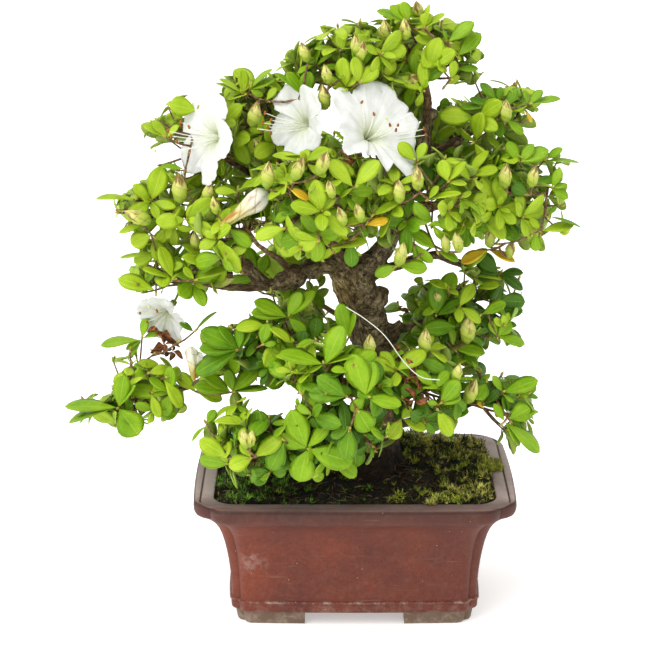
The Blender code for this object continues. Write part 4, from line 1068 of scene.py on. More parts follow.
# Whorls and single leaves that stand out in the photograph: the place of the shoot's tip, a shade
# from 0 for new green to 3 for deep green and 4 for yellow, then each leaf as the place of its tip
# and how broad it looks
KEY_ROOM = 0.88
KEY_SPRAYS = (
    (118, 408, 1, (66, 406, 0.26), (68, 419, 0.17), (124, 376, 0.55), (138, 435, 0.85), (135, 385, 0.2)),
    (170, 394, 1, (129, 388, 0.42), (163, 416, 0.8), (170, 367, 0.5), (150, 377, 0.35)),
    (197, 392, 0, (177, 373, 0.5), (222, 399, 0.42), (206, 375, 0.45)),
    (238, 350, 2, (202, 330, 0.5), (200, 348, 0.38), (195, 372, 0.4), (219, 326, 0.3), (240, 327, 0.45),
     (250, 328, 0.4)),
    (262, 345, 1, (268, 324, 0.6), (276, 343, 0.5)),
    (233, 392, 1, (195, 384, 0.4), (228, 370, 0.55), (258, 366, 0.45), (267, 386, 0.2), (204, 374, 0.4)),
    (288, 317, 1, (255, 301, 0.42), (252, 312, 0.35), (300, 292, 0.5), (314, 290, 0.35), (306, 333, 0.5)),
    (303, 347, 3, (304, 331, 0.9)),
    (316, 341, 2, (317, 317, 0.7)),
    (324, 364, 1, (342, 326, 0.5), (281, 351, 0.36), (356, 354, 0.18), (306, 373, 0.3)),
    (349, 337, 1, (340, 304, 0.48), (354, 312, 0.3)),
    (367, 397, 1, (352, 355, 0.6), (373, 362, 0.5), (401, 404, 0.45), (351, 411, 0.65)),
    (347, 397, 2, (309, 392, 0.48), (318, 376, 0.5)),
    (357, 409, 1, (370, 431, 0.85)),
    (308, 449, 1, (291, 411, 0.6), (280, 435, 0.58), (330, 421, 0.42), (352, 462, 0.55), (299, 482, 0.75)),
    (350, 428, 2, (345, 460, 0.6), (331, 437, 0.5)),
    (284, 440, 2, (270, 470, 0.6)),
    (251, 458, 0, (281, 437, 0.5), (229, 467, 0.65), (241, 443, 0.55)),
    (226, 457, 0, (200, 440, 0.55)),
    (500, 273, 3, (478, 277, 0.8), (477, 254, 0.6), (523, 289, 0.4), (523, 271, 0.35)),
    (498, 300, 3, (525, 302, 0.65)),
    (481, 315, 1, (505, 302, 0.45)),
    (436, 316, 2, (437, 283, 0.6), (462, 300, 0.4)),
    (498, 338, 1, (490, 321, 0.45), (511, 323, 0.65), (525, 343, 0.42)),
    (454, 349, 1, (485, 352, 0.42), (452, 316, 0.3)),
    (417, 358, 2, (445, 371, 0.5)),
    (503, 392, 1, (537, 380, 0.42), (493, 376, 0.4), (514, 402, 0.3)),
    (510, 421, 1, (530, 408, 0.8), (538, 410, 0.25)),
    (503, 423, 1, (541, 450, 0.28), (521, 445, 0.3), (494, 404, 0.4)),
    (437, 409, 0, (452, 436, 0.5)),
    (400, 420, 0, (389, 438, 0.75), (426, 429, 0.45), (411, 407, 0.7)),
    (441, 403, 1, (459, 381, 0.6), (460, 398, 0.45), (428, 402, 0.6)),
    (403, 399, 2, (407, 384, 0.8)),
    (497, 101, 2, (481, 83, 0.4), (501, 87, 0.5), (476, 103, 0.4)),
    (507, 108, 2, (516, 88, 0.5)),
    (490, 106, 2, (461, 107, 0.22), (470, 98, 0.3)),
    (530, 104, 1, (542, 90, 0.5), (560, 98, 0.22), (525, 90, 0.3), (512, 110, 0.4)),
    (505, 121, 1, (523, 134, 0.35)),
    (545, 160, 1, (562, 148, 0.35), (579, 162, 0.15)),
    (552, 188, 1, (568, 198, 0.5), (567, 184, 0.4), (560, 169, 0.5)),
    (541, 232, 0, (573, 225, 0.33), (530, 218, 0.5)),
    (548, 217, 2, (582, 225, 0.1), (556, 206, 0.4)),
    (534, 234, 1, (536, 251, 0.65)),
    (408, 22, 1, (403, 2, 0.6), (378, 9, 0.2), (391, 5, 0.4)),
    (425, 28, 0, (427, 13, 0.8), (444, 13, 0.25), (428, 4, 0.25)),
    (450, 43, 1, (473, 22, 0.45), (444, 30, 0.3)),
    (458, 57, 1, (480, 33, 0.5)),
    (455, 71, 2, (478, 68, 0.35)),
    (445, 86, 0, (459, 76, 0.55)),
    (442, 113, 1, (446, 98, 0.6), (453, 105, 0.3)),
    (243, 94, 0, (243, 70, 0.45), (220, 78, 0.2), (216, 83, 0.14)),
    (250, 88, 1, (275, 79, 0.3), (271, 68, 0.18), (263, 96, 0.6)),
    (268, 101, 0, (276, 88, 0.5)),
    (305, 97, 1, (276, 71, 0.16), (288, 72, 0.4), (310, 72, 0.6)),
    (198, 109, 0, (170, 104, 0.7)),
    (189, 153, 0),
    (166, 137, 0, (144, 124, 0.3), (153, 120, 0.4), (178, 125, 0.4)),
    (185, 170, 1, (161, 165, 0.2)),
    (134, 200, 0, (96, 196, 0.15), (118, 196, 0.25)),
    (143, 226, 0, (119, 232, 0.3)),
    (153, 236, 0, (131, 243, 0.8)),
    (157, 254, 0, (134, 262, 0.6), (120, 257, 0.1)),
    (156, 292, 0, (119, 277, 0.42)),
    (173, 279, 0, (162, 246, 0.45), (143, 267, 0.2)),
    (256, 277, 1, (222, 286, 0.45), (243, 247, 0.6), (267, 256, 0.55)),
    (286, 228, 0, (255, 237, 0.45)),
    (228, 228, 1, (251, 246, 0.55)),
    (195, 280, 0, (228, 267, 0.2), (184, 267, 0.5)),
    (142, 338, 1, (101, 343, 0.22), (146, 317, 0.4), (126, 349, 0.3), (128, 358, 0.3), (166, 329, 0.3)),
    (206, 423, 1, (191, 440, 0.15), (215, 410, 0.6)),
    (154, 354, 1),
    (178, 342, 2),
    (195, 331, 2, (216, 311, 0.14), (180, 322, 0.4)),
    (355, 187, 0, (330, 160, 0.45), (378, 160, 0.45), (339, 196, 0.3)),
    (332, 250, 0, (366, 239, 0.3), (323, 236, 0.5)),
    (352, 240, 2, (352, 267, 0.55)),
    (437, 251, 1, (412, 231, 0.45), (459, 260, 0.35)),
    (397, 266, 1, (375, 275, 0.5), (427, 268, 0.5)),
    (372, 216, 0, (399, 199, 0.3), (345, 222, 0.4)),
    (460, 156, 1, (480, 146, 0.45), (436, 137, 0.35)),
    (519, 162, 1, (508, 142, 0.5), (533, 144, 0.5), (548, 150, 0.5)),
    (528, 195, 3, (512, 186, 0.8)),
    (485, 187, 1, (500, 172, 0.6)),
    (448, 182, 0, (442, 160, 0.65), (465, 161, 0.35), (467, 183, 0.35)),
    (416, 161, 0, (399, 143, 0.55), (425, 143, 0.5)),
    (428, 200, 0, (438, 186, 0.4), (461, 192, 0.2)),
    (288, 187, 4, (310, 200, 0.38)),
    (366, 224, 4, (388, 219, 0.42)),
    (500, 244, 1),
    (487, 250, 4, (461, 262, 0.42), (515, 261, 0.32)),
    (190, 235, 4, (199, 252, 0.5)),
    (407, 350, 4, (416, 361, 0.5)),
)
# Flower buds that stand out in the photograph: the place of each one's foot, then of its tip
KEY_BUDS = (
    (181, 203, 178, 173), (151, 222, 124, 211), (206, 204, 211, 181), (217, 214, 213, 196),
    (252, 127, 257, 101), (267, 188, 269, 161), (294, 180, 303, 157), (318, 175, 328, 151),
    (308, 62, 301, 42), (326, 109, 322, 84), (329, 84, 324, 64), (357, 56, 355, 34), (386, 42, 384, 19),
    (406, 40, 404, 18), (358, 62, 364, 40), (506, 122, 506, 99), (504, 188, 507, 163), (531, 187, 536, 165),
    (489, 247, 491, 226), (460, 252, 455, 232), (398, 266, 404, 242), (362, 222, 356, 203),
    (333, 198, 328, 180), (467, 343, 469, 314), (424, 353, 426, 328), (369, 357, 370, 334),
    (455, 381, 460, 363), (467, 403, 476, 379), (247, 448, 242, 429), (250, 447, 252, 430),
    (246, 164, 222, 155), (264, 156, 254, 139), (418, 190, 417, 166), (400, 203, 398, 179),
    (447, 252, 444, 234), (345, 225, 338, 207), (196, 250, 194, 231), (508, 258, 513, 240),
)
twig_lists = new_lists()
sprays, tip_places, shoots = [], [], []


def add_shoot(path, thick, thin, sides):
    """Add one shoot, whose tip takes up a place."""
    tube(twig_lists, path, taper(path, thick, thin), sides, 0)
    tip_places.append(path[-1])
    shoots.append(path)


def grow_shoot(start, end, number, thick, thin, sides):
    """Grow one shoot with a whorl at its tip, unless the tip is crowded or not free."""
    if not free(end, number) or any((end - other).length < TIP_SPACING for other in tip_places):
        return False
    add_shoot(bowed(start, end, -0.04), thick, thin, sides)
    sprays.append(Spray(end, ((end - start).normalized() + UP * UPWARD).normalized(), room(end, number)))
    return True


def nearest_wood(spot):
    """The point on any stem or shoot so far that lies nearest to a place, a little back from it."""
    best = None
    for path in shoots:
        for a, b in zip(path, path[1:]):
            share = max(0.0, min(1.0, (spot - a).dot(b - a) / (b - a).length_squared))
            near = a.lerp(b, share)
            far = (near - spot).length
            if best is None or far < best[0]:
                best = (far, near, path)
    far, near, path = best
    back = min(range(len(path)), key=lambda k: (path[k] - near).length)
    return near.lerp(path[max(0, back - 1)], 0.6)


stems = []
for mass in MASSES:
    stem, stem_radius = mass_stem(mass)
    tube(twig_lists, stem, taper(stem, stem_radius, 1.2), 9, 0)
    stems.append(stem)
    shoots.append(stem)
key_sprays = []
for across, down, shade, *key_leaves in KEY_SPRAYS:
    tip = seen_at(across, down, front_depth(across, down))
    path = bowed(nearest_wood(tip), tip, -0.07)
    add_shoot(path, 0.9, 0.6, 6)
    key_sprays.append((Spray(tip, (path[-1] - path[-2]).normalized(), 1.0), shade, key_leaves))
flower_buds = []
for row in KEY_BUDS:
    depth = front_depth(*row[:2]) - 3.0
    foot, tip = seen_at(*row[:2], depth), seen_at(*row[2:], depth - 2.0)
    add_shoot(bowed(nearest_wood(foot), foot, -0.1), 0.9, 0.75, 6)
    flower_buds.append((foot, tip))

for number, mass in enumerate(MASSES):
    dice = random.Random(640 + number)
    stem = stems[number]
    centre = Vector(mass.centre)
    a, b, c = mass.reach
    wanted = round((a * b + b * c + c * a) / TWIG_SHARE)
    arriving = (stem[0] - centre).normalized()
    spin = dice.uniform(0.0, math.tau)
    grow_shoot(point_on(stem, 0.9), stem[-1] + UP * 4.0, number, 1.2, 0.9, 6)
    grown = 0
    for k in range(wanted * 6):
        if grown >= wanted:
            break
        out = even_direction(k, spin)
        if out.dot(arriving) > ARRIVING_LIMIT:
            continue
        way = Vector((out.x * a, out.y * b, out.z * c))
        start = point_on(stem, 0.55 + 0.4 * (0.5 + 0.5 * out.z))
        for reach in TWIG_REACHES:
            if grow_shoot(start, centre + way * reach, number, 1.15, 0.75, 6):
                break
        else:
            continue
        grown += 1
        path = shoots[-1]
        turn = dice.uniform(0.0, math.tau)
        for share, size in SIDE_SHOOTS:
            for attempt in range(3):
                turn += GOLDEN_TURN
                root = point_on(path, share)
                along = (path[-1] - path[0]).normalized()
                side = Quaternion(along, turn) @ along.orthogonal().normalized()
                angle = math.radians(dice.uniform(*SIDE_SHOOT_ANGLE))
                heading = (along * math.cos(angle) + side * math.sin(angle) + UP * 0.15).normalized()
                length = dice.uniform(*SIDE_SHOOT_LENGTH)
                if grow_shoot(root, root + heading * length, number, 0.8, 0.55, 5):
                    break

# A bud of next year's growth in the middle of each whorl
for spray in sprays + [key[0] for key in key_sprays]:
    tip, way = spray.tip, spray.heading
    tube(twig_lists, [tip + way * off for off in (-1.0, 0.6, 2.0, 3.6)], (0.55, 1.0, 0.85, 0.12), 6, 1)

young_wood, young_shader, young_place = new_finish("young_wood", 0.6)
streaks = node(young_wood, "TexNoise", (young_place, per_mm(3), 5.0))
young_tone = node(young_wood, "ValToRGB", (streaks,),
                  stops=((0.35, "#46301c"), (0.65, "#97744a"), (0.5, "#6f4e2f")))
colour_into(young_wood, young_shader, young_tone)
relief_into(young_wood, young_shader, streaks, 0.2)
# Downy scales of a leaf bud: yellow-green, browned in patches
bud_scales = cloudy_finish("leaf_bud_scales", 0.7, 2, ((0.4, "#8a5a26"), (0.6, "#b5b24c")))
twigs = piece_from("twigs", twig_lists, [young_wood, bud_scales])
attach(twigs, "root")


# The leaves. Small, blunt, leathery azalea leaves in whorls at the tips of the shoots, with a sunken
# midrib, satin above and paler and matt below. New whorls at the outside are yellow-green,
# older ones inside are deeper green, and a few old leaves have turned yellow. Painted light makes
# the whorls high in the crown and at its left a lighter green.
LEAF_ROWS = ((0.07, 0.07), (0.18, 0.34), (0.32, 0.68), (0.47, 0.92), (0.60, 1.0), (0.73, 0.95), (0.85, 0.75),
             (0.94, 0.45))
LEAF_COLUMNS = (-1.0, -0.5, 0.0, 0.5, 1.0)
LEAF_LENGTH = (15.0, 26.0)
LEAF_WIDTH = (0.44, 0.60)
LEAF_TILT = (38.0, 92.0)
LEAVES_AT_TIP = (4, 5, 5, 6)
LEAF_UNDER = 0.35
LEAF_ROOM = 1.16
LEAF_BACK = 126.0
LEAF_APART = 6.2
# The turns that a leaf of a whorl tries until it finds room, and the share of its length at each
LEAF_TRIES = ((0.0, 1.0), (0.45, 0.95), (-0.45, 0.9), (0.25, 0.7))
SMALL_LEAF_LENGTH = (7.0, 13.0)
SMALL_LEAF_TILT = (18.0, 48.0)
SMALL_LEAF_APART = 2.5
SMALL_LEAF = 14.0
YELLOW_LOOK, UNDER_LOOK = 4, 5
GRID_CELL = 8.0
LEAF_BROAD = 0.54
BUD_CLEAR = 8.0
BUD_LENGTH = (11.0, 17.0)
BUDS_BEHIND = -20.0
BUD_SHARE = 0.12
TIP_SPARE = 0.55
# Painted light: how much lighter a whorl's green is made for each millimetre it stands higher, and further
# left
PAINTED_LIGHT_UP = 0.0026
PAINTED_LIGHT_LEFT = 0.0032
TONE_LEVEL = 235.0
YELLOW_LEAF_SHARE = 0.006
MOST_IN_A_PIECE = 190000
LEAF_TRIANGLES = 96


def leaf_template():
    """The faces of one leaf, whether each lies below, and the places of its points across and along."""
    columns = len(LEAF_COLUMNS)
    rows = len(LEAF_ROWS)
    faces, below = [], []
    top = [[1 + row * columns + k for k in range(columns)] for row in range(rows)]
    under = [1 + rows * columns + row for row in range(rows)]
    tip = 1 + rows * columns + rows
    for k in range(columns - 1):
        faces.append((0, top[0][k + 1], top[0][k]))
        faces.append((tip, top[-1][k], top[-1][k + 1]))
        below += [0, 0]
        for row in range(rows - 1):
            faces.append((top[row][k], top[row][k + 1], top[row + 1][k + 1], top[row + 1][k]))
            below.append(0)
    for row in range(rows - 1):
        faces.append((top[row][0], top[row + 1][0], under[row + 1], under[row]))
        faces.append((under[row], under[row + 1], top[row + 1][-1], top[row][-1]))
        below += [1, 1]
    faces += [(0, top[0][0], under[0]), (0, under[0], top[0][-1]),
              (tip, under[-1], top[-1][0]), (tip, top[-1][-1], under[-1])]
    below += [1, 1, 1, 1]
    marks = [(0.0, 0.0)]
    marks += [(v, u) for u, half in LEAF_ROWS for v in LEAF_COLUMNS]
    marks += [(0.0, u) for u, half in LEAF_ROWS]
    marks.append((0.0, 1.0))
    return faces, below, marks


LEAF_FACES, LEAF_BELOW, LEAF_MARKS = leaf_template()


def leaf_shape(root, way, face, length, width, droop, fold, twist):
    """The points of one leaf, which bends down along its length and rises from its midrib."""
    side = way.cross(face)
    points = [root]
    rib = []
    for u, half in LEAF_ROWS:
        turn = twist * (u - 0.3)
        across = side * math.cos(turn) + face * math.sin(turn)
        above = face * math.cos(turn) - side * math.sin(turn)
        bend = droop * length * (0.35 * u - u * u)
        middle = root + way * (length * (u - 0.12 * abs(droop) * u * u)) + face * bend
        reach = width * 0.5 * length * half
        for v in LEAF_COLUMNS:
            rise = reach * (fold * abs(v) + 0.13 * math.sin(math.pi * abs(v)))
            points.append(middle + across * (reach * v) + above * rise)
        rib.append(middle - above * (LEAF_UNDER * min(1.0, 0.3 + half)))
    tip = root + way * (length * (1.0 - 0.12 * abs(droop))) + face * (droop * length * -0.65)
    return points + rib + [tip]


leaves, spray_looks, key_shown = [], [], []
leaf_grid = {}
leaf_dice = random.Random(977)


def leaf_point(shape, row, column=2):
    """The point of a leaf in one of its rows, on the midrib or in another column."""
    return shape[1 + row * len(LEAF_COLUMNS) + column]


def grid_cell(spot):
    """The cell of a coarse grid that a point lies in."""
    return tuple(int(part // GRID_CELL) for part in spot)


def crowded(spot, limit):
    """Whether the middle of another leaf is nearer than a limit, found by way of the grid."""
    x, y, z = grid_cell(spot)
    for i in (x - 1, x, x + 1):
        for j in (y - 1, y, y + 1):
            for k in (z - 1, z, z + 1):
                if any((spot - other).length < limit for other in leaf_grid.get((i, j, k), ())):
                    return True
    return False


def keep_leaf(shape, length):
    """Keep a leaf for the current spray."""
    middle = leaf_point(shape, 4)
    leaf_grid.setdefault(grid_cell(middle), []).append(middle)
    leaves.append((shape, len(spray_looks) - 1, length))


def hides_key_leaf(spot):
    """Whether a point hides one of the leaves that stand out in the photograph."""
    across, down = seen(spot)
    near = (key_places[:, 0] - across) ** 2 + (key_places[:, 1] - down) ** 2 < key_places[:, 3] ** 2
    return bool((near & (key_places[:, 2] > spot[1])).any())


def leaf_fits(shape):
    """Whether a leaf stays in its room, off the limbs, in the outline and out of a blossom's front."""
    probes = [shape[-1], leaf_point(shape, 4, 0), leaf_point(shape, 4, 4), leaf_point(shape, 6)]
    if nearest_room(shape[-1]) > LEAF_ROOM or shape[-1].z < LEAF_FLOOR - 5.0 or shape[-1].y > LEAF_BACK:
        return False
    if not in_outline(shape[-1], TIP_SPARE) or not all(in_outline(probe) for probe in probes[1:3]):
        return False
    if hides_key_leaf(probes[3]) or hides_key_leaf(leaf_point(shape, 3)):
        return False
    return all(limb_gap(probe) > 0.8 and not before_bloom(probe, 5.0, 20.0) for probe in probes)


# The leaves that stand out in the photograph, each turned until it looks as broad as it does there
for spray, shade, key_leaves in key_sprays:
    spray_looks.append(shade)
    for across, down, breadth in key_leaves:
        rise = 0.10 * (seen(spray.tip)[1] - down)
        tip = seen_at(across, down, spray.tip.y + rise)
        root = spray.tip - spray.heading * leaf_dice.uniform(0.2, 2.0)
        way = (tip - root).normalized()
        towards = (CAMERA_PLACE - root).normalized()
        flat = (towards - way * towards.dot(way)).normalized()
        turn = math.acos(min(1.0, breadth / LEAF_BROAD))
        faces = [Quaternion(way, sign * turn) @ flat for sign in (-1, 1)]
        face = max(faces, key=lambda one: one.z)
        width = max(LEAF_BROAD, breadth)
        shape = leaf_shape(root, way, face, (tip - root).length * 1.03, width, leaf_dice.uniform(0.02, 0.14),
                           leaf_dice.uniform(0.06, 0.2), leaf_dice.uniform(-0.25, 0.25))
        keep_leaf(shape, 25.0)
        middle = leaf_point(shape, 4)
        half = 0.3 * (Vector(seen(tip)) - Vector(seen(root))).length
        key_shown.append((*seen(middle), middle.y, half))
        key_shown.append((*seen(root.lerp(tip, 0.3)), middle.y, half * 0.8))
for foot, tip in flower_buds:
    key_shown.append((*seen(foot.lerp(tip, 0.6)), foot.y, BUD_CLEAR))
key_places = np.array(key_shown)


def leaf_at(spray, way, length, roll, crowding=LEAF_APART):
    """Add one leaf to a spray in a given direction, unless it's in the way of another."""
    root = spray.tip - spray.heading * leaf_dice.uniform(0.2, 3.0)
    face = Quaternion(way, roll) @ (spray.heading - way * spray.heading.dot(way)).normalized()
    shape = leaf_shape(root, way, face, length, leaf_dice.uniform(*LEAF_WIDTH), leaf_dice.uniform(0.05, 0.42),
                       leaf_dice.uniform(0.05, 0.28), leaf_dice.uniform(-0.5, 0.5))
    if crowded(leaf_point(shape, 4), crowding) or not leaf_fits(shape):
        return False
    keep_leaf(shape, length)
    return True


def leaf_look(spray):
    """The finish of a whorl's leaves: new green outside, deeper green inside, and painted light above and to
    the left.
    """
    # Painted light: whorls pointing up, standing high and lying to the left each get lighter greens
    tone = spray.outer + 0.12 * spray.heading.z + leaf_dice.uniform(-0.34, 0.34)
    tone += PAINTED_LIGHT_UP * (spray.tip.z - TONE_LEVEL) - PAINTED_LIGHT_LEFT * min(0.0, spray.tip.x)
    return 0 if tone > 1.0 else 1 if tone > 0.72 else 2 if tone > 0.42 else 3


def spread_way(spray, turn, tilts):
    """The direction of a leaf that is turned round its shoot and tilted away from it."""
    out = Quaternion(spray.heading, turn) @ spray.heading.orthogonal().normalized()
    tilt = math.radians(leaf_dice.uniform(*tilts))
    return spray.heading * math.cos(tilt) + out * math.sin(tilt)


for spray in sprays:
    spray_looks.append(leaf_look(spray))
    bud_tip = spray.tip + spray.heading * leaf_dice.uniform(*BUD_LENGTH)
    in_front = spray.tip.y > BUDS_BEHIND and spray.outer > 0.7
    if in_front and leaf_dice.random() < BUD_SHARE and in_outline(bud_tip):
        flower_buds.append((spray.tip, bud_tip))
    count = leaf_dice.choice(LEAVES_AT_TIP)
    first = leaf_dice.uniform(0.0, math.tau)
    for k in range(count):
        for shift, size in LEAF_TRIES:
            turn = first + math.tau * k / count + shift + leaf_dice.uniform(-0.15, 0.15)
            way = spread_way(spray, turn, LEAF_TILT)
            if leaf_at(spray, way, leaf_dice.uniform(*LEAF_LENGTH) * size, leaf_dice.uniform(-0.35, 0.35)):
                break
    for k in range(leaf_dice.choice((1, 2, 3))):
        way = spread_way(spray, leaf_dice.uniform(0.0, math.tau), SMALL_LEAF_TILT)
        leaf_at(spray, way, leaf_dice.uniform(*SMALL_LEAF_LENGTH), leaf_dice.uniform(-0.3, 0.3),
                SMALL_LEAF_APART)

leaf_finishes = []
for name, dark, light, rib_tone in (
        ("leaf_new_green", "#8fae14", "#a9c32a", "#bccf4c"),
        ("leaf_fresh_green", "#6f9a0e", "#8bb01a", "#a2bf3c"),
        ("leaf_mid_green", "#527f0c", "#6d9815", "#8cad34"),
        ("leaf_deep_green", "#38600e", "#4f7816", "#759433"),
        ("leaf_old_yellow", "#dfae12", "#f2d43a", "#f4e27c"),
        ("leaf_underside", "#8fa838", "#a8bd58", "#bccb80")):
    # A leathery azalea leaf: satin, with a paler midrib, faint side veins and a fine pale margin
    finish, shader, place = new_finish(name, 0.7 if name == "leaf_underside" else 0.42, IOR=1.45,
                                       Specular_IOR_Level=0.25, Subsurface_Weight=0.25,
                                       Subsurface_Radius=(0.8, 1.0, 0.25), Subsurface_Scale=0.0008)
    mottle = node(finish, "TexNoise", (place, per_mm(16), 4.0, 0.6))
    tone = node(finish, "ValToRGB", (mottle,), stops=((0.36, dark), (0.64, light)))
    marks = node(finish, "UVMap", uv_map="leaf_marks")
    aside, along = node(finish, "SeparateXYZ", (marks,)).outputs[:2]
    off_rib = node(finish, "Math", (aside, 0.5), operation="SUBTRACT")
    rib_off = node(finish, "Math", (off_rib,), operation="ABSOLUTE")
    rib = node(finish, "MapRange", (rib_off, 0.010, 0.035, 0.65, 0.0))
    margin = node(finish, "MapRange", (rib_off, 0.45, 0.49, 0.0, 0.7))
    slope = node(finish, "Math", (rib_off, -0.55), operation="MULTIPLY")
    lean = node(finish, "Math", (along, slope), operation="ADD")
    waves = node(finish, "Math", (lean, 44.0), operation="MULTIPLY")
    wave = node(finish, "Math", (waves,), operation="SINE")
    vein = node(finish, "MapRange", (wave, 0.75, 1.0, 0.0, 0.16))
    lines = node(finish, "Math", (rib, vein), operation="MAXIMUM")
    edged = node(finish, "Math", (lines, margin), operation="MAXIMUM")
    veined = node(finish, "Mix", (edged, tone, linear(rib_tone)), data_type="RGBA")
    colour_into(finish, shader, veined)
    pores = node(finish, "TexNoise", (place, per_mm(1.2), 3.0))
    furrow = node(finish, "Math", (pores, lines), operation="SUBTRACT")
    relief_into(finish, shader, furrow, 0.25, 0.6)
    leaf_finishes.append(finish)


per_piece = MOST_IN_A_PIECE // LEAF_TRIANGLES
for first in range(0, len(leaves), per_piece):
    leaf_lists = new_lists()
    points, faces, looks, marks = leaf_lists
    for shape, spray_number, length in leaves[first:first + per_piece]:
        start = len(points)
        points += shape
        look = spray_looks[spray_number]
        if spray_number >= len(key_sprays) and leaf_dice.random() < YELLOW_LEAF_SHARE:
            look = YELLOW_LOOK
        if length < SMALL_LEAF and look != YELLOW_LOOK:
            look = max(0, look - 1)
        for face, below in zip(LEAF_FACES, LEAF_BELOW):
            faces.append([start + k for k in face])
            looks.append(UNDER_LOOK if below else look)
            marks += [(0.5 + 0.5 * LEAF_MARKS[k][0], LEAF_MARKS[k][1]) for k in face]
    piece = piece_from(f"leaves_{first // per_piece + 1}", leaf_lists, leaf_finishes, "leaf_marks")
    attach(piece, "root")
    if first == 0:
        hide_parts(*[mass.name for mass in MASSES])


# The flower buds. Fat, pointed azalea buds of overlapping downy scales, green at the foot and cream
# towards the tip, with rust-brown streaks. Three blossoms that have faded to folded trumpets are
# made the same way, in limp cream petals that turn brown.
BUD_RINGS = 18
BUD_AROUND = 20
BUD_GIRTH = 0.25
# The share of the way from foot to tip, and the share of the full radius reached there
BUD_PROFILE = ((0.0, 0.34), (0.12, 0.72), (0.3, 0.97), (0.45, 1.0), (0.62, 0.88), (0.8, 0.55),
               (0.93, 0.22), (1.0, 0.04))
TRUMPET_PROFILE = ((0.0, 0.25), (0.15, 0.45), (0.4, 0.6), (0.6, 0.85), (0.75, 1.0), (0.88, 0.9),
                   (0.96, 0.6), (1.0, 0.2))
# Faded blossoms: the places of foot and tip in the photograph, the Y they lie at, and the radius
FADED = (((221, 226), (268, 192), -58.0, 6.4), ((194, 380), (190, 347), -48.0, 4.6),
         ((197, 378), (199, 352), -46.0, 3.2))


def spindle(lists, foot, tip, radius, profile, scales, folds, look):
    """Add a closed bud or trumpet, with spiral rows of scales below and twisted folds above."""
    points, faces, looks, marks = lists
    way = (tip - foot).normalized()
    across = way.orthogonal().normalized()
    beside = way.cross(across)
    stations, widths = zip(*profile)
    start = len(points)
    spin = 0.37 * start
    for ring in range(BUD_RINGS + 1):
        t = ring / BUD_RINGS
        girth = radius * float(np.interp(t, stations, widths))
        for k in range(BUD_AROUND):
            turn = math.tau * k / BUD_AROUND
            row = (3.0 * t + 2.0 * k / BUD_AROUND) % 1.0
            bulge = 1.0 + scales * (0.5 - row) * (1.0 - t) + folds * math.sin(5.0 * turn + 4.0 * t + spin)
            lean = folds * 3.0 * t * t * bumps(turn, t, spin, 1.0)
            out = across * (math.cos(turn) + lean) + beside * math.sin(turn)
            points.append(foot.lerp(tip, t) + out * (girth * bulge))
    for ring in range(BUD_RINGS):
        for k in range(BUD_AROUND):
            after = (k + 1) % BUD_AROUND
            low = start + ring * BUD_AROUND
            faces.append((low + k, low + after, low + BUD_AROUND + after, low + BUD_AROUND + k))
            looks.append(look)
            left, right = k / BUD_AROUND, (k + 1) / BUD_AROUND
            below, above = ring / BUD_RINGS, (ring + 1) / BUD_RINGS
            marks += [(left, below), (right, below), (right, above), (left, above)]
    last = start + BUD_RINGS * BUD_AROUND
    faces.append(tuple(range(start + BUD_AROUND - 1, start - 1, -1)))
    faces.append(tuple(range(last, last + BUD_AROUND)))
    looks += [look, look]
    marks += [(0.5, 0.0)] * BUD_AROUND + [(0.5, 1.0)] * BUD_AROUND


bud_lists = new_lists()
for foot, tip in flower_buds:
    spindle(bud_lists, foot, tip, (tip - foot).length * BUD_GIRTH, BUD_PROFILE, 0.30, 0.03, 0)
for low_end, high_end, depth, radius in FADED:
    foot, tip = seen_at(*low_end, depth), seen_at(*high_end, depth - 4.0)
    spindle(bud_lists, foot, tip, radius, TRUMPET_PROFILE, 0.0, 0.16, 1)
bud_finishes = []
for name, foot_tone, middle_tone, tip_tone, rust, at_foot, at_tip in (
        ("bud_scales", "#7c9b1e", "#a9b83a", "#d3cf78", "#6e4208", -0.07, 0.13),
        ("faded_petal", "#b4ba46", "#d3ca8c", "#dddaca", "#a86a12", 0.07, -0.09)):
    # Soft plant scales or petals, matt, with streaks of rust where they have begun to dry
    finish, shader, place = new_finish(name, 0.6)
    marks = node(finish, "UVMap", uv_map="bud_marks")
    around, along = node(finish, "SeparateXYZ", (marks,)).outputs[:2]
    tone = node(finish, "ValToRGB", (along,),
                stops=((0.05, foot_tone), (0.75, tip_tone), (0.4, middle_tone)))
    turns = node(finish, "Math", (around, 2.0), operation="MULTIPLY")
    rows = node(finish, "Math", (along, 3.0), operation="MULTIPLY")
    spiral = node(finish, "Math", (turns, rows), operation="ADD")
    row = node(finish, "Math", (spiral,), operation="FRACT")
    edge_share = node(finish, "MapRange", (row, 0.88, 0.97, 0.0, 0.5))
    edged = node(finish, "Mix", (edge_share, tone, linear("#6f7a1e")), data_type="RGBA")
    # The streaks run along the bud and differ from one bud to the next
    drawn_out = node(finish, "Mapping", {"Vector": marks, "Scale": (9.0, 2.2, 1.0)})
    spread = node(finish, "VectorMath", {0: place, "Scale": 60.0}, operation="SCALE")
    streak_place = node(finish, "VectorMath", (drawn_out, spread), operation="ADD")
    patches = node(finish, "TexNoise", (streak_place, 0.8, 3.0, 0.6))
    upper = node(finish, "MapRange", (along, 0.30, 0.95, at_foot, at_tip))
    drier = node(finish, "Math", (patches, upper), operation="ADD")
    rust_share = node(finish, "MapRange", (drier, 0.53, 0.66, 0.0, 0.9))
    rusted = node(finish, "Mix", (rust_share, edged, linear(rust)), data_type="RGBA")
    colour_into(finish, shader, rusted)
    hairs = node(finish, "TexNoise", (place, per_mm(0.8), 3.0))
    relief_into(finish, shader, hairs, 0.2)
    bud_finishes.append(finish)
buds = piece_from("flower_buds", bud_lists, bud_finishes, "bud_marks")
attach(buds, "root")


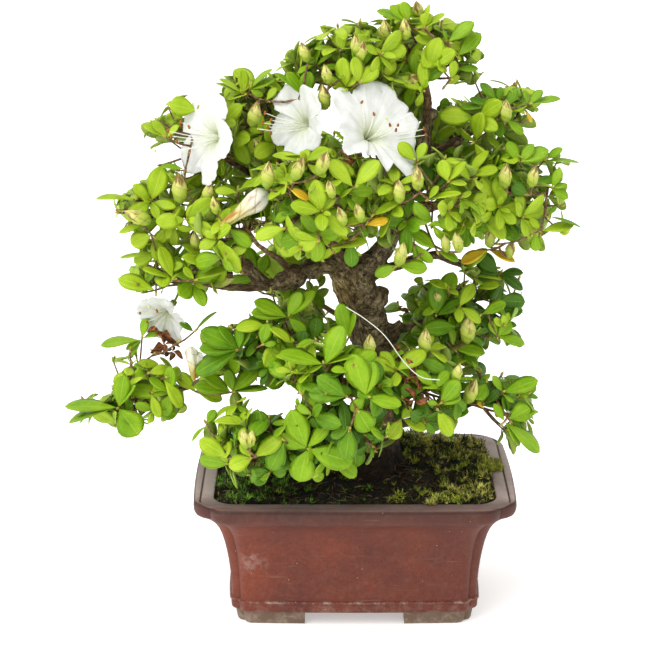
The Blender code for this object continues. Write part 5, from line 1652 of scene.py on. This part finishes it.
# The blossoms. Azalea flowers of five white petals that are fused below into a funnel with a greenish
# throat, and spread above with ruffled edges, each lying over the next. The petals are thin and
# soft; five stamens with brown anthers and one longer style rise from the throat.
PETAL_RINGS = 26
LOBE_COLUMNS = 24
LOBE_TURN = math.tau / 5
THROAT_DEPTH = 20.0
PETAL_THICK = 0.35
LOBE_TILT = 2.6
PETAL_CREASE = 0.9
PETAL_RUFFLE = 2.4
NOTCH = 0.24
# The share of the way from foot to rim, and the shares of the radius and of the depth reached there
FUNNEL = ((0.0, 0.06, 0.0), (0.2, 0.09, 0.32), (0.38, 0.17, 0.58), (0.5, 0.28, 0.72), (0.62, 0.44, 0.83),
          (0.76, 0.65, 0.92), (0.9, 0.87, 0.98), (1.0, 1.0, 1.0))
# The front blossom's rim as the photograph shows it, from its right side round by its top
FRONT_RIM = (
    (418, 125), (410, 113), (411, 107), (406, 101), (399, 99), (395, 92), (385, 83), (375, 80), (363, 82),
    (354, 93), (347, 88), (338, 88), (331, 101), (337, 110), (342, 127), (344, 138), (342, 149), (348, 155),
    (362, 152), (377, 154), (387, 172), (393, 162), (411, 184), (417, 158), (413, 136),
)
# Where each blossom's anthers and its stigma show, and how far out of the rim the anthers stand
SEEN_STAMENS = {
    "front_blossom": (((362, 102), (374, 114), (390, 125), (398, 125), (396, 130), (424, 129), (426, 135)),
                      (387, 119), 6.0),
    "centre_blossom": (((271, 120), (263, 123), (271, 133), (265, 113), (268, 127)), (258, 129), 14.0),
    "left_blossom": (((181, 122), (189, 127), (168, 131), (171, 136), (177, 141)), (155, 151), 24.0),
    "low_blossom": (((140, 313), (157, 311), (154, 329), (147, 322)), (149, 307), 8.0),
}
FIRST_LOBES = (-34.0, 10.0, 30.0, 54.0)


def seen_on(across, down, middle, facing):
    """The point that shows at a pixel of the photograph and lies on a plane."""
    way = seen_at(across, down, 0.0) - CAMERA_PLACE
    return CAMERA_PLACE + way * ((middle - CAMERA_PLACE).dot(facing) / way.dot(facing))


def disc_axes(bloom):
    """A blossom's middle, the way it faces, and the right and upward directions in its rim."""
    facing = Vector(bloom.facing).normalized()
    right = Vector((1.0, 0.0, 0.0))
    right = (right - facing * right.dot(facing)).normalized()
    return Vector(bloom.centre), facing, right, facing.cross(right)


def rim_radii(bloom, first_turn):
    """How far out the rim lies at each column of a blossom."""
    centre, facing, right, up = disc_axes(bloom)
    turns = [first_turn + LOBE_TURN * k / LOBE_COLUMNS for k in range(5 * LOBE_COLUMNS)]
    if bloom.name == "front_blossom":
        offs = [seen_on(*pixel, centre, facing) - centre for pixel in FRONT_RIM]
        at = [math.atan2(off.dot(up), off.dot(right)) for off in offs]
        lengths = [off.length for off in offs]
        return turns, [float(np.interp(turn, at, lengths, period=math.tau)) for turn in turns]
    radii = []
    for k, turn in enumerate(turns):
        aside = abs((k % LOBE_COLUMNS) / LOBE_COLUMNS - 0.5) * 2
        size = 1.0 + 0.07 * math.sin(2.0 * turn + bloom.centre[0])
        radii.append(bloom.radius * size * (1.0 - NOTCH * aside ** 3))
    return turns, radii


def blossom(lists, bloom, first_turn):
    """Add one blossom's petals: a closed body, with the face that looks out and the one behind."""
    points, faces, looks, marks = lists
    centre, facing, right, up = disc_axes(bloom)
    turns, rim = rim_radii(bloom, first_turn)
    count = len(turns)
    shares, wides, deeps = zip(*FUNNEL)
    start = len(points)
    for layer in (0, 1):
        for ring in range(PETAL_RINGS + 1):
            s = ring / PETAL_RINGS
            wide, deep = float(np.interp(s, shares, wides)), float(np.interp(s, shares, deeps))
            for k, turn in enumerate(turns):
                lobe = (k % LOBE_COLUMNS) / LOBE_COLUMNS - 0.5
                even = bloom.radius * 0.85
                radius = wide * (even + (rim[k] - even) * s * s)
                ruffle = bumps(radius * math.cos(turn), radius * math.sin(turn), bloom.centre[0], 8.0, 3)
                height = THROAT_DEPTH * (deep - 1.0) + PETAL_RUFFLE * s ** 3 * ruffle
                height += LOBE_TILT * 2.0 * lobe * s ** 3
                height -= PETAL_CREASE * 4.0 * s * (1.0 - s) * math.exp(-(lobe / 0.07) ** 2)
                radius *= 1.0 + 0.05 * s ** 3 * bumps(9.0 * math.cos(turn), 9.0 * math.sin(turn), 5.0, 1.6, 2)
                radius += layer * PETAL_THICK * (1.0 - s)
                height -= layer * PETAL_THICK * min(1.0, 0.3 + s)
                out = right * math.cos(turn) + up * math.sin(turn)
                points.append(centre + out * radius + facing * height)
    behind = start + (PETAL_RINGS + 1) * count
    for ring in range(PETAL_RINGS):
        for k in range(count):
            after = (k + 1) % count
            low, high = ring * count, (ring + 1) * count
            side, other = (k % LOBE_COLUMNS) / LOBE_COLUMNS, (k % LOBE_COLUMNS + 1) / LOBE_COLUMNS
            inward, outward = ring / PETAL_RINGS, (ring + 1) / PETAL_RINGS
            faces.append((start + low + k, start + high + k, start + high + after, start + low + after))
            marks += [(side, inward), (side, outward), (other, outward), (other, inward)]
            faces.append((behind + low + k, behind + low + after, behind + high + after, behind + high + k))
            marks += [(side, inward), (other, inward), (other, outward), (side, outward)]
    last = PETAL_RINGS * count
    for k in range(count):
        after = (k + 1) % count
        faces.append((start + last + k, behind + last + k, behind + last + after, start + last + after))
        faces.append((start + k, start + after, behind + after, behind + k))
        marks += [((k % LOBE_COLUMNS) / LOBE_COLUMNS, 1.0)] * 4 + [(0.5, 0.0)] * 4
    looks += [0] * (len(faces) - len(looks))


petal_lists, part_lists = new_lists(), new_lists()
petal_dice = random.Random(212)
for bloom, first_turn in zip(BLOOMS, FIRST_LOBES):
    blossom(petal_lists, bloom, math.radians(first_turn))
    centre, facing, right, up = disc_axes(bloom)
    foot = centre - facing * (THROAT_DEPTH - 0.5)
    # The stamens: pale filaments that bend up, each with a brown anther
    anther_pixels, stigma_pixel, out_of_rim = SEEN_STAMENS[bloom.name]
    for pixel in anther_pixels:
        end = seen_on(*pixel, centre + facing * out_of_rim, facing)
        path = smooth_route([foot, foot.lerp(end, 0.5) + facing * 3.0 - up * 1.5, end], 5)
        tube(part_lists, path, taper(path, 0.42, 0.28), 6, 0)
        way = up + facing * petal_dice.uniform(-0.4, 0.6) + right * petal_dice.uniform(-0.6, 0.6)
        way.normalize()
        anther = [end + way * off for off in (-1.4, -1.0, 0.6, 1.5)]
        tube(part_lists, anther, (0.35, 0.85, 0.8, 0.3), 8, 1)
    # The style, which ends in a sticky stigma
    stigma = seen_on(*stigma_pixel, centre + facing * (out_of_rim + 4.0), facing)
    path = smooth_route([foot, foot.lerp(stigma, 0.5) + facing * 2.0 - up * 3.0, stigma], 5)
    tube(part_lists, path, taper(path, 0.5, 0.38), 6, 0)
    way = (path[-1] - path[-2]).normalized()
    tube(part_lists, [stigma + way * off for off in (-0.8, 0.0, 0.7)], (0.45, 1.05, 0.5), 8, 2)
    # The calyx: five green points round the foot, and the stalk back to the wood
    base = centre - facing * (THROAT_DEPTH + 0.2)
    for k in range(5):
        out = right * math.cos(LOBE_TURN * k) + up * math.sin(LOBE_TURN * k)
        path = [base - facing * 0.6, base + out * 1.7 + facing * 0.8, base + out * 2.6 + facing * 4.5]
        tube(part_lists, path, (0.9, 0.8, 0.15), 5, 3)
    path = bowed(nearest_wood(base), base, -0.12)
    tube(part_lists, path, taper(path, 1.0, 0.85), 7, 3)

# Petal tissue: white, faintly veined and slightly clear, greenish down the throat
petal, petal_shader, petal_place = new_finish("white_petal", 0.55, Subsurface_Weight=0.3,
                                              Subsurface_Radius=(1.0, 1.0, 0.9), Subsurface_Scale=0.0008)
marks = node(petal, "UVMap", uv_map="petal_marks")
aside, along = node(petal, "SeparateXYZ", (marks,)).outputs[:2]
crumple = node(petal, "TexNoise", (petal_place, per_mm(9), 4.0))
petal_tone = node(petal, "ValToRGB", (crumple,), stops=((0.35, "#d8dad4"), (0.65, "#e5e6e2")))
off_middle = node(petal, "Math", (aside, 0.5), operation="SUBTRACT")
fan = node(petal, "Math", (off_middle, 62.0), operation="MULTIPLY")
fanned = node(petal, "Math", (fan,), operation="COSINE")
vein_share = node(petal, "MapRange", (fanned, 0.75, 1.0, 0.0, 0.2))
veined = node(petal, "Mix", (vein_share, petal_tone, linear("#c2c6ba")), data_type="RGBA")
throat_share = node(petal, "MapRange", (along, 0.2, 0.7, 0.85, 0.0))
throated = node(petal, "Mix", (throat_share, veined, linear("#bcc88c")), data_type="RGBA")
colour_into(petal, petal_shader, throated)
petal_relief = node(petal, "Math", (crumple, vein_share), operation="SUBTRACT")
relief_into(petal, petal_shader, petal_relief, 0.5, 0.7)
blossoms = piece_from("blossoms", petal_lists, [petal], "petal_marks")
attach(blossoms, "root")

# Small flower parts: smooth and pale, or dusty with pollen, with a soft uneven tone
part_finishes = [cloudy_finish(name, rough, 1.5, ((0.4, dark), (0.6, pale))) for name, rough, dark, pale in (
    ("filament", 0.5, "#dfe2cf", "#f2f3e8"), ("anther", 0.8, "#74400a", "#ab661a"),
    ("stigma", 0.35, "#b9c24a", "#d8dd7c"), ("green_stalk", 0.6, "#6f8a2a", "#9ab04a"))]
stamens = piece_from("stamens_and_stalks", part_lists, part_finishes)
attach(stamens, "root")


# What is left of earlier blossoms: dried, curled petals that still hang among the leaves, brown as
# tobacco, and one long pale style that has dropped from a blossom and lies over the leaves.
# The places of the dried bunches in the photograph, and how many petals each has
DRIED = (((164, 345), 5), ((172, 352), 4), ((160, 334), 2), ((397, 362), 4), ((410, 377), 5), ((414, 400), 3),
         ((399, 309), 2), ((356, 160), 4))
DRIED_LENGTH = (8.0, 14.0)
FALLEN_STYLE = ((346, 307), (365, 319), (385, 336), (404, 362), (421, 377), (440, 380))
STYLE_DEPTH = -84.0
dried_dice = random.Random(77)
dried_lists = new_lists()
for pixel, count in DRIED:
    hub = seen_at(*pixel, front_depth(*pixel) - 2.0)
    path = bowed(nearest_wood(hub), hub, -0.1)
    tube(dried_lists, path, taper(path, 0.6, 0.5), 5, 0)
    for k in range(count):
        way = even_direction(k, dried_dice.uniform(0.0, math.tau))
        way = (way - UP * 0.3).normalized()
        length = dried_dice.uniform(*DRIED_LENGTH)
        droop, fold = dried_dice.uniform(0.5, 0.9), dried_dice.uniform(0.5, 0.9)
        twist = dried_dice.uniform(-2.4, 2.4)
        start = len(dried_lists.points)
        face = way.orthogonal().normalized()
        dried_lists.points.extend(leaf_shape(hub, way, face, length, 0.5, droop, fold, twist))
        dried_lists.faces.extend([start + part for part in face] for face in LEAF_FACES)
        dried_lists.looks.extend([0] * len(LEAF_FACES))
path = smooth_route([seen_at(*pixel, STYLE_DEPTH) for pixel in FALLEN_STYLE], 5)
tube(dried_lists, path, [0.34] * len(path), 6, 1)
# Dead tissue: matt and brittle, brown with paler edges, or bleached nearly white
dried_finishes = [cloudy_finish(name, 0.75, 3, ((0.38, dark), (0.62, light)), 4.0) for name, dark, light in (
    ("dried_petal", "#4a2410", "#a55f2a"), ("pale_style", "#dadccb", "#eceee0"))]
dried = piece_from("dried_petals", dried_lists, dried_finishes)
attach(dried, "root")
